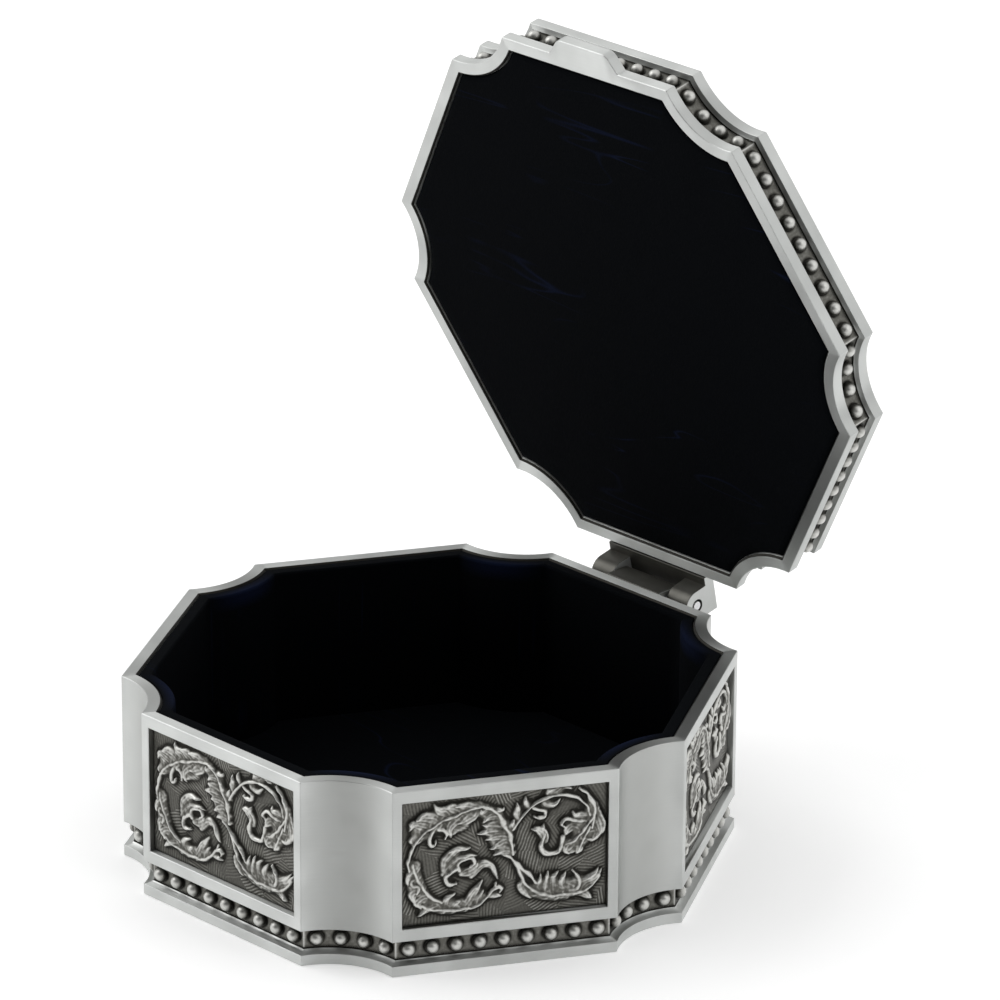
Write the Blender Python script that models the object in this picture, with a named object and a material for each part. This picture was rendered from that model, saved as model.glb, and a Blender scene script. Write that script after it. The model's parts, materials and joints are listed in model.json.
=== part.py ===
"""Six-sided metal trinket box with scooped corners, a hinged lid and a velvet lining.

Units are metres and +Z is up. The origin is the centre of the underside and -Y is the front.
The lid stands open, turned by LID_OPEN_ANGLE about the hinge axis behind the back wall.
Sizes named inset are measured inwards from the outer face of the wall.
"""

import math

import bmesh
import bpy
from mathutils import Matrix, Vector

BOX_NAME = "metal_trinket_box"

# Plan outline: flat sides, with a round scallop in place of each corner
SIDES = 6
APOTHEM = 0.045
SCALLOP_OUTSIDE_CORNER = 0.0058385
SCALLOP_CENTRE = APOTHEM / math.cos(math.pi / SIDES) + SCALLOP_OUTSIDE_CORNER
SCALLOP_RADIUS = 0.0123
SCALLOP_STEPS = 6

# Solder or glue line between neighbouring pieces
JOINT_GAP = 0.0003
# How far a cutter runs past the face that it cuts
CUT_OVERRUN = 0.001
# Points of a curve's caps and sides that are closer than this are one point
WELD_DISTANCE = JOINT_GAP / 30

# Mouldings, shared by the base and the lid
RIM_WIDTH = 0.0023
BAND_INSET = 0.0014
BEAD_RADIUS = 0.00095
BEAD_STAND_OUT = 0.00025
BEAD_PITCH = 0.00372
BEAD_CORNER_SPACE = 0.0013
BEAD_RING_POINTS = 8
BEAD_ROWS = 4
COVE_HEIGHT = 0.0007
COVE_STEPS = 3
MOULDING_EDGE = 0.0018

# Base, from the table up
BASE_BAND_HEIGHT = 0.0033
BASE_BEAD_HEIGHT = 0.0015
WALL_HEIGHT = 0.025
FELT_THICKNESS = 0.0006
FLOOR_THICKNESS = 0.001

# Windows in the wall, and the plaques that sit in them
WINDOW_WIDTH = 0.0322
WINDOW_HEIGHT = 0.0209
WINDOW_RAIL = 0.00205
WINDOW_DEPTH = 0.0018
PLAQUE_THICKNESS = 0.0005
SCROLL_HEIGHT = 0.0007
SCROLL_HALF_WIDTH = 0.0008
SCROLL_SUNK = 0.0002
SCROLL_STEPS = 3

# Linings
CARD_THICKNESS = 0.0006
WALL_VELVET_THICKNESS = 0.0008
LINING_LIP_THICKNESS = 0.0004
LINING_BELOW_RIM = 0.0003
FLOOR_PAD_THICKNESS = 0.0018
PAD_EDGE_DROP = 0.0006
PAD_EDGE_WIDTH = 0.0024

# Lid, from its rim face up
LID_RIM_HEIGHT = 0.002
LID_BAND_HEIGHT = 0.0038
LID_BEAD_HEIGHT = 0.0022
LID_OVERHANG_INSET = 0.0003
LID_BORDER_WIDTH = 0.0042
LID_BORDER_ROUND = 0.0005
LID_FIELD_DEPTH = 0.0018
LID_PAD_THICKNESS = 0.0037
LID_PAD_RECESS = 0.0005
TAB_BASE_WIDTH = 0.0146
TAB_TIP_WIDTH = 0.0104
TAB_REACH = 0.0028
TAB_CORNER_ROUND = 0.0007
TAB_CORNER_STEPS = 2

# Hinge
HINGE_BEHIND_WALL = 0.0043
HINGE_BELOW_RIM = 0.002
HINGE_WIDTH = 0.0212
HINGE_MIDDLE_WIDTH = 0.0116
KNUCKLE_RADIUS = 0.0019
EAR_RADIUS = 0.0026
PIN_RADIUS = 0.0008
PIN_CLEARANCE = 0.0003
ROUND_STEPS = 20
LID_OPEN_ANGLE = math.radians(78.4)

# Finishes: sRGB colour, metallic, roughness
BRUSHED_PEWTER = ((0.76, 0.77, 0.76), 1.0, 0.36)
AGED_PEWTER = ((0.36, 0.36, 0.35), 1.0, 0.45)
BRIGHT_STEEL = ((0.82, 0.82, 0.83), 1.0, 0.22)
NAVY_VELVET = ((0.03, 0.035, 0.06), 0.0, 0.95)
GREY_CARD = ((0.45, 0.44, 0.42), 0.0, 0.9)
BLACK_FELT = ((0.05, 0.05, 0.055), 0.0, 1.0)

# Heights worked out from the sizes above
PLINTH_TOP = MOULDING_EDGE + COVE_HEIGHT
WALL_BOTTOM = PLINTH_TOP + BASE_BAND_HEIGHT
RIM_TOP = WALL_BOTTOM + WALL_HEIGHT
FLOOR_BOTTOM = FELT_THICKNESS + JOINT_GAP
FLOOR_TOP = FLOOR_BOTTOM + FLOOR_THICKNESS
LID_BOTTOM = RIM_TOP + JOINT_GAP
LID_BAND_BOTTOM = LID_BOTTOM + LID_RIM_HEIGHT
LID_BAND_TOP = LID_BAND_BOTTOM + LID_BAND_HEIGHT
LID_EDGE_BOTTOM = LID_BAND_TOP + COVE_HEIGHT
LID_TOP = LID_EDGE_BOTTOM + MOULDING_EDGE
HINGE_AXIS = Vector((0, APOTHEM + HINGE_BEHIND_WALL, RIM_TOP - HINGE_BELOW_RIM))

# Leaf scroll on a side plaque. Each stroke is a ridge through (across, up) points, given as shares of the
# half width and half height, and the last number is the ridge's size as a share of the full section.
SCROLL_SHARES = (
    ((-0.12, 0.78, 0.5), (-0.36, 0.84, 1.0), (-0.66, 0.76, 1.1), (-0.88, 0.44, 1.0), (-0.94, -0.1, 1.0),
     (-0.84, -0.56, 1.1), (-0.56, -0.84, 1.2), (-0.24, -0.8, 1.0), (-0.06, -0.56, 0.5)),
    ((-0.1, -0.36, 0.5), (-0.16, -0.04, 0.8), (-0.34, 0.12, 0.9), (-0.54, 0.0, 0.8), (-0.56, -0.3, 0.5)),
    ((-0.26, 0.66, 0.5), (-0.1, 0.46, 0.9), (0.04, 0.14, 0.9), (0.12, -0.2, 0.7), (0.28, -0.6, 0.9),
     (0.56, -0.8, 1.2), (0.84, -0.74, 1.0), (0.95, -0.46, 0.5)),
    ((0.1, 0.36, 0.4), (0.2, 0.72, 0.8), (0.46, 0.86, 1.0), (0.74, 0.76, 1.1), (0.88, 0.38, 1.2),
     (0.8, 0.02, 1.0), (0.6, -0.18, 0.8), (0.4, -0.04, 0.9), (0.36, 0.26, 0.5)),
)
# Leaf scroll on the lid, repeated towards each side: points as shares of the field's apothem
LID_SCROLL_SHARES = (
    ((0.0, 0.22, 0.6), (-0.1, 0.42, 1.0), (-0.26, 0.62, 1.2), (-0.2, 0.84, 1.1), (0.04, 0.86, 1.0),
     (0.12, 0.7, 0.8), (-0.02, 0.62, 0.5)),
    ((0.1, 0.36, 0.5), (0.24, 0.5, 1.0), (0.36, 0.7, 1.1), (0.28, 0.88, 0.6)),
)
ROSETTE_SHARE = 0.14


def clear_scene():
    """Remove what the file starts with."""
    for old in list(bpy.data.objects):
        bpy.data.objects.remove(old, do_unlink=True)


def new_collection(name):
    made = bpy.data.collections.new(name)
    bpy.context.scene.collection.children.link(made)
    return made


def new_object(name, data, collection=None):
    made = bpy.data.objects.new(name, data)
    (collection or PARTS).objects.link(made)
    return made


def mesh_object(name, bm, collection=None):
    """Turn a bmesh into an object with its faces pointing out."""
    bmesh.ops.recalc_face_normals(bm, faces=bm.faces)
    if bm.calc_volume(signed=True) < 0:
        bmesh.ops.reverse_faces(bm, faces=bm.faces)
    mesh = bpy.data.meshes.new(name)
    bm.to_mesh(mesh)
    bm.free()
    return new_object(name, mesh, collection)


def finished(piece, finish):
    """Give a piece a material of its own in one of the finishes."""
    colour, metallic, roughness = finish
    material = bpy.data.materials.new(f"{piece.name}_finish")
    material.use_nodes = True
    shader = material.node_tree.nodes["Principled BSDF"]
    shader.inputs["Base Color"].default_value = (*(channel**2.2 for channel in colour), 1)
    shader.inputs["Metallic"].default_value = metallic
    shader.inputs["Roughness"].default_value = roughness
    piece.data.materials.clear()
    piece.data.materials.append(material)
    return piece


def smooth(piece, sharp_angle=math.radians(30)):
    piece.data.shade_smooth()
    piece.data.set_sharp_from_angle(angle=sharp_angle)
    return piece


def mesh_from_curve(curve_object):
    """Replace a curve by its mesh, with the caps welded to the sides."""
    bpy.context.view_layer.update()
    evaluated = curve_object.evaluated_get(bpy.context.evaluated_depsgraph_get())
    mesh = bpy.data.meshes.new_from_object(evaluated)
    bm = bmesh.new()
    bm.from_mesh(mesh)
    bmesh.ops.remove_doubles(bm, verts=bm.verts, dist=WELD_DISTANCE)
    bmesh.ops.recalc_face_normals(bm, faces=bm.faces)
    bm.to_mesh(mesh)
    bm.free()
    made = bpy.data.objects.new(curve_object.name, mesh)
    made.matrix_world = curve_object.matrix_world
    for collection in curve_object.users_collection:
        collection.objects.link(made)
    name = curve_object.name
    bpy.data.objects.remove(curve_object, do_unlink=True)
    made.name = name
    return made


def add_boolean(piece, tool, operation):
    modifier = piece.modifiers.new(f"{operation.lower()} {tool.name}", "BOOLEAN")
    modifier.operation = operation
    modifier.object = tool
    modifier.solver = "EXACT"
    tool.hide_render = True
    tool.display_type = "WIRE"


def side_angle(side):
    """Direction of a side's outward normal, counted anticlockwise from the front."""
    return math.tau * side / SIDES - math.pi / 2


def half_side(inset):
    """Half the length of a flat side of the outline at an inset."""
    half_turn = math.pi / SIDES
    radius = SCALLOP_RADIUS + inset
    out = SCALLOP_CENTRE * math.cos(half_turn) - (APOTHEM - inset)
    return SCALLOP_CENTRE * math.sin(half_turn) - math.sqrt(radius**2 - out**2)


def side_point(side, along, inset):
    """A point on a flat side, along it from its middle."""
    angle = side_angle(side)
    normal = Vector((math.cos(angle), math.sin(angle)))
    return normal * (APOTHEM - inset) + normal.orthogonal() * along


def scallop(side, inset):
    """Centre, start angle and turn of the scallop that follows a side."""
    angle = side_angle(side + 0.5)
    centre = Vector((math.cos(angle), math.sin(angle))) * SCALLOP_CENTRE
    start = side_point(side, half_side(inset), inset) - centre
    end = side_point(side + 1, -half_side(inset), inset) - centre
    return centre, math.atan2(start.y, start.x), -start.angle(end)


def scallop_point(side, inset, share):
    centre, start, turn = scallop(side, inset)
    angle = start + turn * share
    return centre + Vector((math.cos(angle), math.sin(angle))) * (SCALLOP_RADIUS + inset)


def outline(inset):
    """Plan outline of the box at an inset, anticlockwise, with as many points at every inset."""
    points = []
    for side in range(SIDES):
        points += [scallop_point(side, inset, step / SCALLOP_STEPS) for step in range(SCALLOP_STEPS + 1)]
    return points


def flat_piece(name, loops, bottom, top, collection=None):
    """A plate or prismatic ring: filled outlines, extruded from bottom to top."""
    curve = bpy.data.curves.new(name, "CURVE")
    curve.dimensions = "2D"
    curve.fill_mode = "BOTH"
    curve.extrude = (top - bottom) / 2
    for loop in loops:
        spline = curve.splines.new("POLY")
        spline.points.add(len(loop) - 1)
        for point, place in zip(spline.points, loop):
            point.co = (place.x, place.y, 0, 1)
        spline.use_cyclic_u = True
    made = new_object(name, curve, collection)
    made.location.z = (top + bottom) / 2
    return mesh_from_curve(made)


def moulded_piece(name, profile, ring, collection=None):
    """A moulding that follows the outline: a profile of (inset, height) points, lofted round the box.

    A ring closes its profile on itself. A plate's first and last outlines are filled.
    """
    bm = bmesh.new()
    loops = [[bm.verts.new((point.x, point.y, height)) for point in outline(inset)] for inset, height in profile]
    pairs = list(zip(loops, loops[1:]))
    if ring:
        pairs.append((loops[-1], loops[0]))
    else:
        bm.faces.new(loops[0])
        bm.faces.new(loops[-1])
    for lower, upper in pairs:
        for index in range(len(lower)):
            bm.faces.new((lower[index - 1], lower[index], upper[index], upper[index - 1]))
    return mesh_object(name, bm, collection)


def cove(inset, band_inset, band_height, edge_height):
    """Points of a hollow moulding from the bead band out to its edge."""
    points = []
    for step in range(COVE_STEPS + 1):
        angle = math.pi / 2 * step / COVE_STEPS
        across = inset + (band_inset - inset) * math.cos(angle)
        points.append((across, band_height + (edge_height - band_height) * math.sin(angle)))
    return points


def bead_places():
    """Place and outward direction of each bead in the band, seen from above."""
    inset = BAND_INSET - BEAD_STAND_OUT
    places = []
    for side in range(SIDES):
        length = 2 * half_side(inset)
        for along in spread(length):
            angle = side_angle(side)
            places.append((side_point(side, along - length / 2, inset), Vector((math.cos(angle), math.sin(angle)))))
        centre, start, turn = scallop(side, inset)
        length = abs(turn) * (SCALLOP_RADIUS + inset)
        for along in spread(length):
            place = scallop_point(side, inset, along / length)
            places.append((place, (centre - place).normalized()))
    return places


def spread(length):
    """Evenly pitched bead positions, centred on a run of the band."""
    count = int((length - 2 * BEAD_CORNER_SPACE) / BEAD_PITCH) + 1
    first = (length - (count - 1) * BEAD_PITCH) / 2
    return [first + index * BEAD_PITCH for index in range(count)]


def bead_band(name, bottom, top, bead_height):
    """Recessed ring with a row of round beads standing out of it."""
    band = flat_piece(name, [outline(BAND_INSET), outline(RIM_WIDTH)], bottom, top)
    bm = bmesh.new()
    for place, outward in bead_places():
        turn = Vector((outward.x, outward.y, 0)).to_track_quat("Z", "Y").to_matrix().to_4x4()
        spot = Matrix.Translation((place.x, place.y, bead_height))
        bmesh.ops.create_uvsphere(
            bm, u_segments=BEAD_RING_POINTS, v_segments=BEAD_ROWS, radius=BEAD_RADIUS, matrix=spot @ turn
        )
    beads = mesh_object(f"{name}_beads", bm, CUTTERS)
    add_boolean(band, beads, "UNION")
    return finished(band, AGED_PEWTER)


def ridge_section():
    """Cross-section of a relief ridge: a crest over a foot that is sunk into the ground."""
    section = bpy.data.curves.new("ridge_section", "CURVE")
    spline = section.splines.new("POLY")
    spline.points.add(2)
    corners = ((-SCROLL_HALF_WIDTH, -SCROLL_SUNK), (SCROLL_HALF_WIDTH, -SCROLL_SUNK), (0, SCROLL_HEIGHT))
    for point, (across, up) in zip(spline.points, corners):
        point.co = (across, up, 0, 1)
    spline.use_cyclic_u = True
    guide = new_object("ridge_section", section, CUTTERS)
    guide.hide_render = True


def scroll_ridge(name, stroke, across_size, up_size, ground):
    """A relief ridge that follows one stroke in the XY plane and rises towards +Z."""
    curve = bpy.data.curves.new(name, "CURVE")
    curve.dimensions = "2D"
    curve.bevel_mode = "OBJECT"
    curve.bevel_object = bpy.data.objects["ridge_section"]
    curve.use_fill_caps = True
    curve.resolution_u = SCROLL_STEPS
    spline = curve.splines.new("BEZIER")
    spline.bezier_points.add(len(stroke) - 1)
    for point, (across, up, size) in zip(spline.bezier_points, stroke):
        point.co = (across * across_size, up * up_size, 0)
        point.radius = size
        point.handle_left_type = point.handle_right_type = "AUTO"
    ridge = new_object(name, curve, CUTTERS)
    ridge.location.z = ground
    return mesh_from_curve(ridge)


def carved(plate, ridges):
    """Join relief ridges to a plate and keep the result as one plain mesh."""
    for ridge in ridges:
        add_boolean(plate, ridge, "UNION")
    bpy.context.view_layer.update()
    evaluated = plate.evaluated_get(bpy.context.evaluated_depsgraph_get())
    mesh = bpy.data.meshes.new_from_object(evaluated)
    plate.modifiers.clear()
    plate.data = mesh
    for ridge in ridges:
        bpy.data.objects.remove(ridge, do_unlink=True)
    return plate


def side_plaque_mesh():
    """One relief plaque, upright, with its face towards -Y and its ground plane at y = 0."""
    width = WINDOW_WIDTH - 2 * JOINT_GAP
    height = WINDOW_HEIGHT - 2 * JOINT_GAP
    bm = bmesh.new()
    size = Matrix.Diagonal((width, height, PLAQUE_THICKNESS, 1))
    bmesh.ops.create_cube(bm, size=1, matrix=Matrix.Translation((0, 0, -PLAQUE_THICKNESS / 2)) @ size)
    plate = mesh_object("plaque_pattern", bm, CUTTERS)
    ridges = [
        scroll_ridge(f"scroll_{index}", stroke, width / 2, height / 2, 0)
        for index, stroke in enumerate(SCROLL_SHARES)
    ]
    mesh = carved(plate, ridges).data
    bpy.data.objects.remove(plate, do_unlink=True)
    mesh.transform(Matrix.Rotation(math.pi / 2, 4, "X"))
    return mesh


def build_base():
    """Foot plinth, bead band, wall with its windows, floor and felt."""
    plinth_profile = [(RIM_WIDTH, 0), (0, 0)]
    plinth_profile += reversed(cove(0, BAND_INSET, PLINTH_TOP, MOULDING_EDGE))
    plinth_profile += [(RIM_WIDTH, PLINTH_TOP)]
    finished(moulded_piece("base_plinth", plinth_profile, ring=True), BRUSHED_PEWTER)
    bead_band(
        "base_bead_band",
        PLINTH_TOP + JOINT_GAP,
        WALL_BOTTOM - JOINT_GAP,
        PLINTH_TOP + BASE_BEAD_HEIGHT,
    )
    wall = flat_piece("base_wall", [outline(0), outline(RIM_WIDTH)], WALL_BOTTOM, RIM_TOP)
    bm = bmesh.new()
    for side in range(SIDES):
        depth = WINDOW_DEPTH + CUT_OVERRUN
        size = Matrix.Diagonal((WINDOW_WIDTH, depth, WINDOW_HEIGHT, 1))
        out = Matrix.Translation((0, -APOTHEM + WINDOW_DEPTH - depth / 2, window_middle()))
        bmesh.ops.create_cube(bm, size=1, matrix=side_turn(side) @ out @ size)
    windows = mesh_object("wall_windows", bm, CUTTERS)
    add_boolean(wall, windows, "DIFFERENCE")
    finished(wall, BRUSHED_PEWTER)
    inside = RIM_WIDTH + JOINT_GAP
    finished(flat_piece("base_floor", [outline(inside)], FLOOR_BOTTOM, FLOOR_TOP), BRUSHED_PEWTER)
    finished(flat_piece("base_felt", [outline(inside)], 0, FELT_THICKNESS), BLACK_FELT)


def window_middle():
    return RIM_TOP - WINDOW_RAIL - WINDOW_HEIGHT / 2


def side_turn(side):
    return Matrix.Rotation(math.tau * side / SIDES, 4, "Z")


def build_plaques():
    """Six copies of the relief plaque, one in each window, anticlockwise from the front."""
    mesh = side_plaque_mesh()
    names = ("front", "front_right", "back_right", "back", "back_left", "front_left")
    ground = WINDOW_DEPTH - JOINT_GAP - PLAQUE_THICKNESS
    for side, name in enumerate(names):
        plaque = new_object(f"plaque_{name}", mesh.copy())
        seat = Matrix.Translation((0, -APOTHEM + ground, window_middle()))
        plaque.matrix_world = side_turn(side) @ seat
        finished(plaque, AGED_PEWTER)


def build_linings():
    """Card and velvet on the wall, and a card and pad on the floor."""
    card_inset = RIM_WIDTH + JOINT_GAP
    bottom = FLOOR_TOP + JOINT_GAP
    velvet_top = RIM_TOP - LINING_BELOW_RIM
    lip_bottom = velvet_top - LINING_LIP_THICKNESS
    velvet_back = card_inset + CARD_THICKNESS + JOINT_GAP
    velvet_face = velvet_back + WALL_VELVET_THICKNESS
    card_loops = [outline(card_inset), outline(card_inset + CARD_THICKNESS)]
    finished(flat_piece("lining_wall_card", card_loops, bottom, lip_bottom - JOINT_GAP), GREY_CARD)
    velvet_profile = [
        (velvet_face, bottom),
        (velvet_back, bottom),
        (velvet_back, lip_bottom),
        (card_inset, lip_bottom),
        (card_inset, velvet_top),
        (velvet_face, velvet_top),
    ]
    finished(moulded_piece("lining_wall_velvet", velvet_profile, ring=True), NAVY_VELVET)
    pad_inset = velvet_face + JOINT_GAP
    card_top = bottom + CARD_THICKNESS
    finished(flat_piece("lining_floor_card", [outline(pad_inset)], bottom, card_top), GREY_CARD)
    pad_bottom = card_top + JOINT_GAP
    pad_top = pad_bottom + FLOOR_PAD_THICKNESS
    pad_profile = [
        (pad_inset, pad_bottom),
        (pad_inset, pad_top - PAD_EDGE_DROP),
        (pad_inset + PAD_EDGE_WIDTH, pad_top),
    ]
    finished(moulded_piece("lining_floor_pad", pad_profile, ring=False), NAVY_VELVET)


def rounded_tab():
    """Plan outline of the thumb tab, from inside the rim out to its rounded tip corners."""
    inner = -APOTHEM + RIM_WIDTH / 2
    tip = -APOTHEM - TAB_REACH
    slope = math.atan2(TAB_REACH, (TAB_BASE_WIDTH - TAB_TIP_WIDTH) / 2)
    setback = TAB_CORNER_ROUND * math.tan(slope / 2)
    right = [Vector((TAB_BASE_WIDTH / 2, inner)), Vector((TAB_BASE_WIDTH / 2, -APOTHEM))]
    centre = Vector((TAB_TIP_WIDTH / 2 - setback, tip + TAB_CORNER_ROUND))
    for step in range(TAB_CORNER_STEPS + 1):
        angle = slope * (1 - step / TAB_CORNER_STEPS)
        right.append(centre + Vector((math.sin(angle), -math.cos(angle))) * TAB_CORNER_ROUND)
    return right + [Vector((-point.x, point.y)) for point in reversed(right)]


def build_lid():
    """Rim with thumb tab, bead band, moulded top, plaque, card and pad, in their closed places."""
    rim = flat_piece("lid_rim", [outline(0), outline(RIM_WIDTH)], LID_BOTTOM, LID_BAND_BOTTOM)
    tab = flat_piece("thumb_tab", [rounded_tab()], LID_BOTTOM, LID_BAND_BOTTOM, CUTTERS)
    add_boolean(rim, tab, "UNION")
    finished(rim, BRUSHED_PEWTER)
    band = bead_band(
        "lid_bead_band",
        LID_BAND_BOTTOM + JOINT_GAP,
        LID_BAND_TOP - JOINT_GAP,
        LID_BAND_BOTTOM + LID_BEAD_HEIGHT,
    )
    field_inset = LID_OVERHANG_INSET + LID_BORDER_WIDTH
    field_bottom = LID_TOP - LID_FIELD_DEPTH
    top_profile = cove(LID_OVERHANG_INSET, BAND_INSET, LID_BAND_TOP, LID_EDGE_BOTTOM)
    top_profile += [
        (LID_OVERHANG_INSET, LID_TOP - LID_BORDER_ROUND),
        (LID_OVERHANG_INSET + LID_BORDER_ROUND, LID_TOP),
        (field_inset, LID_TOP),
        (field_inset, field_bottom),
    ]
    top = finished(moulded_piece("lid_top", top_profile, ring=False), BRUSHED_PEWTER)
    plaque = lid_plaque(field_inset + JOINT_GAP, field_bottom + JOINT_GAP)
    inside = RIM_WIDTH + JOINT_GAP
    pad_bottom = LID_BOTTOM + LID_PAD_RECESS
    pad_top = pad_bottom + LID_PAD_THICKNESS
    pad_profile = [
        (inside, pad_top),
        (inside, pad_bottom + PAD_EDGE_DROP),
        (inside + PAD_EDGE_WIDTH, pad_bottom),
    ]
    pad = finished(moulded_piece("lid_pad", pad_profile, ring=False), NAVY_VELVET)
    card = flat_piece("lid_pad_card", [outline(inside)], pad_top + JOINT_GAP, LID_BAND_TOP - JOINT_GAP)
    finished(card, GREY_CARD)
    return [rim, band, top, plaque, card, pad]


def lid_plaque(inset, bottom):
    """Relief plaque on the outside of the lid: a rosette with a pair of leaf scrolls to each side."""
    ground = bottom + PLAQUE_THICKNESS
    plate = flat_piece("lid_plaque", [outline(inset)], bottom, ground)
    reach = APOTHEM - inset
    ridges = []
    for side in range(SIDES):
        for index, stroke in enumerate(LID_SCROLL_SHARES):
            ridge = scroll_ridge(f"lid_scroll_{side}_{index}", stroke, reach, reach, ground)
            ridge.rotation_euler.z = math.tau * side / SIDES
            ridges.append(ridge)
    bm = bmesh.new()
    bmesh.ops.create_uvsphere(
        bm,
        u_segments=2 * SIDES,
        v_segments=BEAD_ROWS,
        radius=1,
        matrix=Matrix.Translation((0, 0, ground)) @ rosette_size(reach),
    )
    ridges.append(mesh_object("lid_rosette", bm, CUTTERS))
    return finished(carved(plate, ridges), AGED_PEWTER)


def rosette_size(reach):
    return Matrix.Diagonal((ROSETTE_SHARE * reach, ROSETTE_SHARE * reach, SCROLL_HEIGHT, 1))


def round_bar(bm, radius, length, middle):
    """A cylinder along X."""
    bmesh.ops.create_cone(
        bm,
        cap_ends=True,
        segments=ROUND_STEPS,
        radius1=radius,
        radius2=radius,
        depth=length,
        matrix=Matrix.Translation(middle) @ Matrix.Rotation(math.pi / 2, 4, "Y"),
    )


def bar_object(name, radius, length, middle, collection=None):
    bm = bmesh.new()
    round_bar(bm, radius, length, middle)
    return mesh_object(name, bm, collection)


def block_object(name, low, high, collection=None):
    """A box between two corners."""
    low, high = Vector(low), Vector(high)
    bm = bmesh.new()
    size = Matrix.Diagonal((*(high - low), 1))
    bmesh.ops.create_cube(bm, size=1, matrix=Matrix.Translation((low + high) / 2) @ size)
    return mesh_object(name, bm, collection)


def build_base_hinge():
    """Middle knuckle on the base, with its neck to the wall, and the pin that it holds."""
    half = HINGE_MIDDLE_WIDTH / 2
    knuckle = bar_object("base_hinge_lug", KNUCKLE_RADIUS, HINGE_MIDDLE_WIDTH, HINGE_AXIS)
    neck = block_object(
        "hinge_neck",
        (-half, APOTHEM + JOINT_GAP, HINGE_AXIS.z - KNUCKLE_RADIUS),
        (half, HINGE_AXIS.y, HINGE_AXIS.z + KNUCKLE_RADIUS),
        CUTTERS,
    )
    add_boolean(knuckle, neck, "UNION")
    add_boolean(knuckle, hinge_bore("knuckle_bore"), "DIFFERENCE")
    finished(knuckle, BRUSHED_PEWTER)
    finished(bar_object("hinge_pin", PIN_RADIUS, HINGE_WIDTH, HINGE_AXIS), BRIGHT_STEEL)


def hinge_bore(name):
    return bar_object(name, PIN_RADIUS + PIN_CLEARANCE, HINGE_WIDTH + 2 * CUT_OVERRUN, HINGE_AXIS, CUTTERS)


def build_lid_hinge():
    """Tongue behind the lid's rim that ends in two round ears, in its closed place."""
    half = HINGE_WIDTH / 2
    lug = block_object(
        "lid_hinge_lug",
        (-half, APOTHEM + JOINT_GAP, LID_BOTTOM),
        (half, HINGE_AXIS.y + EAR_RADIUS, LID_BAND_BOTTOM),
    )
    for name, way in (("left_ear", -1), ("right_ear", 1)):
        inner = HINGE_MIDDLE_WIDTH / 2 + JOINT_GAP
        middle = HINGE_AXIS + Vector((way * (half + inner) / 2, 0, 0))
        add_boolean(lug, bar_object(name, EAR_RADIUS, half - inner, middle, CUTTERS), "UNION")
    add_boolean(lug, hinge_bore("ear_bore"), "DIFFERENCE")
    return finished(lug, BRUSHED_PEWTER)


def open_lid(pieces):
    """Hang the lid's pieces, with the tools that shape them, on the hinge axis and turn them open."""
    axis = bpy.data.objects.new("lid_hinge_axis", None)
    PARTS.objects.link(axis)
    axis.location = HINGE_AXIS
    tools = {modifier.object.name: modifier.object for piece in pieces for modifier in piece.modifiers}
    for piece in [*pieces, *tools.values()]:
        piece.parent = axis
        piece.location -= HINGE_AXIS
    axis.rotation_euler.x = -LID_OPEN_ANGLE


clear_scene()
PARTS = new_collection(BOX_NAME)
CUTTERS = new_collection(f"{BOX_NAME}_cutters")
ridge_section()
build_base()
build_plaques()
build_linings()
build_base_hinge()
open_lid([*build_lid(), build_lid_hinge()])
for part in PARTS.objects:
    if part.type == "MESH":
        smooth(part)
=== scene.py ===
"""Metal trinket box: six scooped corners, leaf relief panels, pearl bands and a dark velvet lining.

Lengths are metres in the CAD model's frame: +Z up, -Y the front, the origin under the middle of the box.
A plan point is a complex number, x + y i. An inset is measured inwards from the wall's outer face.
"""

import json
import math

import bmesh
import bpy
import numpy as np
from bpy.props import FloatProperty, FloatVectorProperty, IntProperty, PointerProperty
from mathutils import Matrix, Vector


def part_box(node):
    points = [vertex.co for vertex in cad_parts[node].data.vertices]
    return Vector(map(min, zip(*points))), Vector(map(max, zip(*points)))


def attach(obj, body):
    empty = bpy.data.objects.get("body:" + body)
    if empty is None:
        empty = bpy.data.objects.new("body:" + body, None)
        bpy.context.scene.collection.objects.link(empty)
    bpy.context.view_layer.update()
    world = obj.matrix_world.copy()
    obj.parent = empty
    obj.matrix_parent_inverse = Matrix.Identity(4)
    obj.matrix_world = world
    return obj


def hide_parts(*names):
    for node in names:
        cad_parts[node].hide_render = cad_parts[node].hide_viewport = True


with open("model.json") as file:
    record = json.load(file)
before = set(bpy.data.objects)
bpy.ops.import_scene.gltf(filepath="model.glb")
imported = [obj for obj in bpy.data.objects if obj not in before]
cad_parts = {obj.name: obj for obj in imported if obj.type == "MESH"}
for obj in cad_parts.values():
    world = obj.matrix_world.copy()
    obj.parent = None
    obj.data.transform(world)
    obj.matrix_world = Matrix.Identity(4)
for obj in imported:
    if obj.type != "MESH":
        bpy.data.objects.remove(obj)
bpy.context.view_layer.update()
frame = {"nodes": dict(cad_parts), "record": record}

bl_info = {
    "name": "Metal Trinket Box",
    "version": (1, 0, 0),
    "blender": (4, 5, 0),
    "location": "3D View > Sidebar > Trinket Box",
    "description": "Builds the pieces of a hexagonal metal trinket box and its studio stage",
    "category": "Add Mesh",
}

SIDES = 6
MM = 0.001

# Heights that the CAD nodes give
WALL_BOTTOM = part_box("base_wall")[0][2]
RIM_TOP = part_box("base_wall")[1][2]
WALL_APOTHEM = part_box("base_wall")[1][1]
PLINTH_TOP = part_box("base_plinth")[1][2]
FLOOR_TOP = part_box("base_floor")[1][2]
JOINT = frame["record"]["behaviour"]["joints"][0]
HINGE_AXIS = Vector(JOINT["pos_m"])
OPEN_TURN = math.radians(JOINT["range_deg"][0])
LID_OPEN = (
    Matrix.Translation(HINGE_AXIS) @ Matrix.Rotation(OPEN_TURN, 4, "X") @ Matrix.Translation(-HINGE_AXIS)
)

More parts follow.
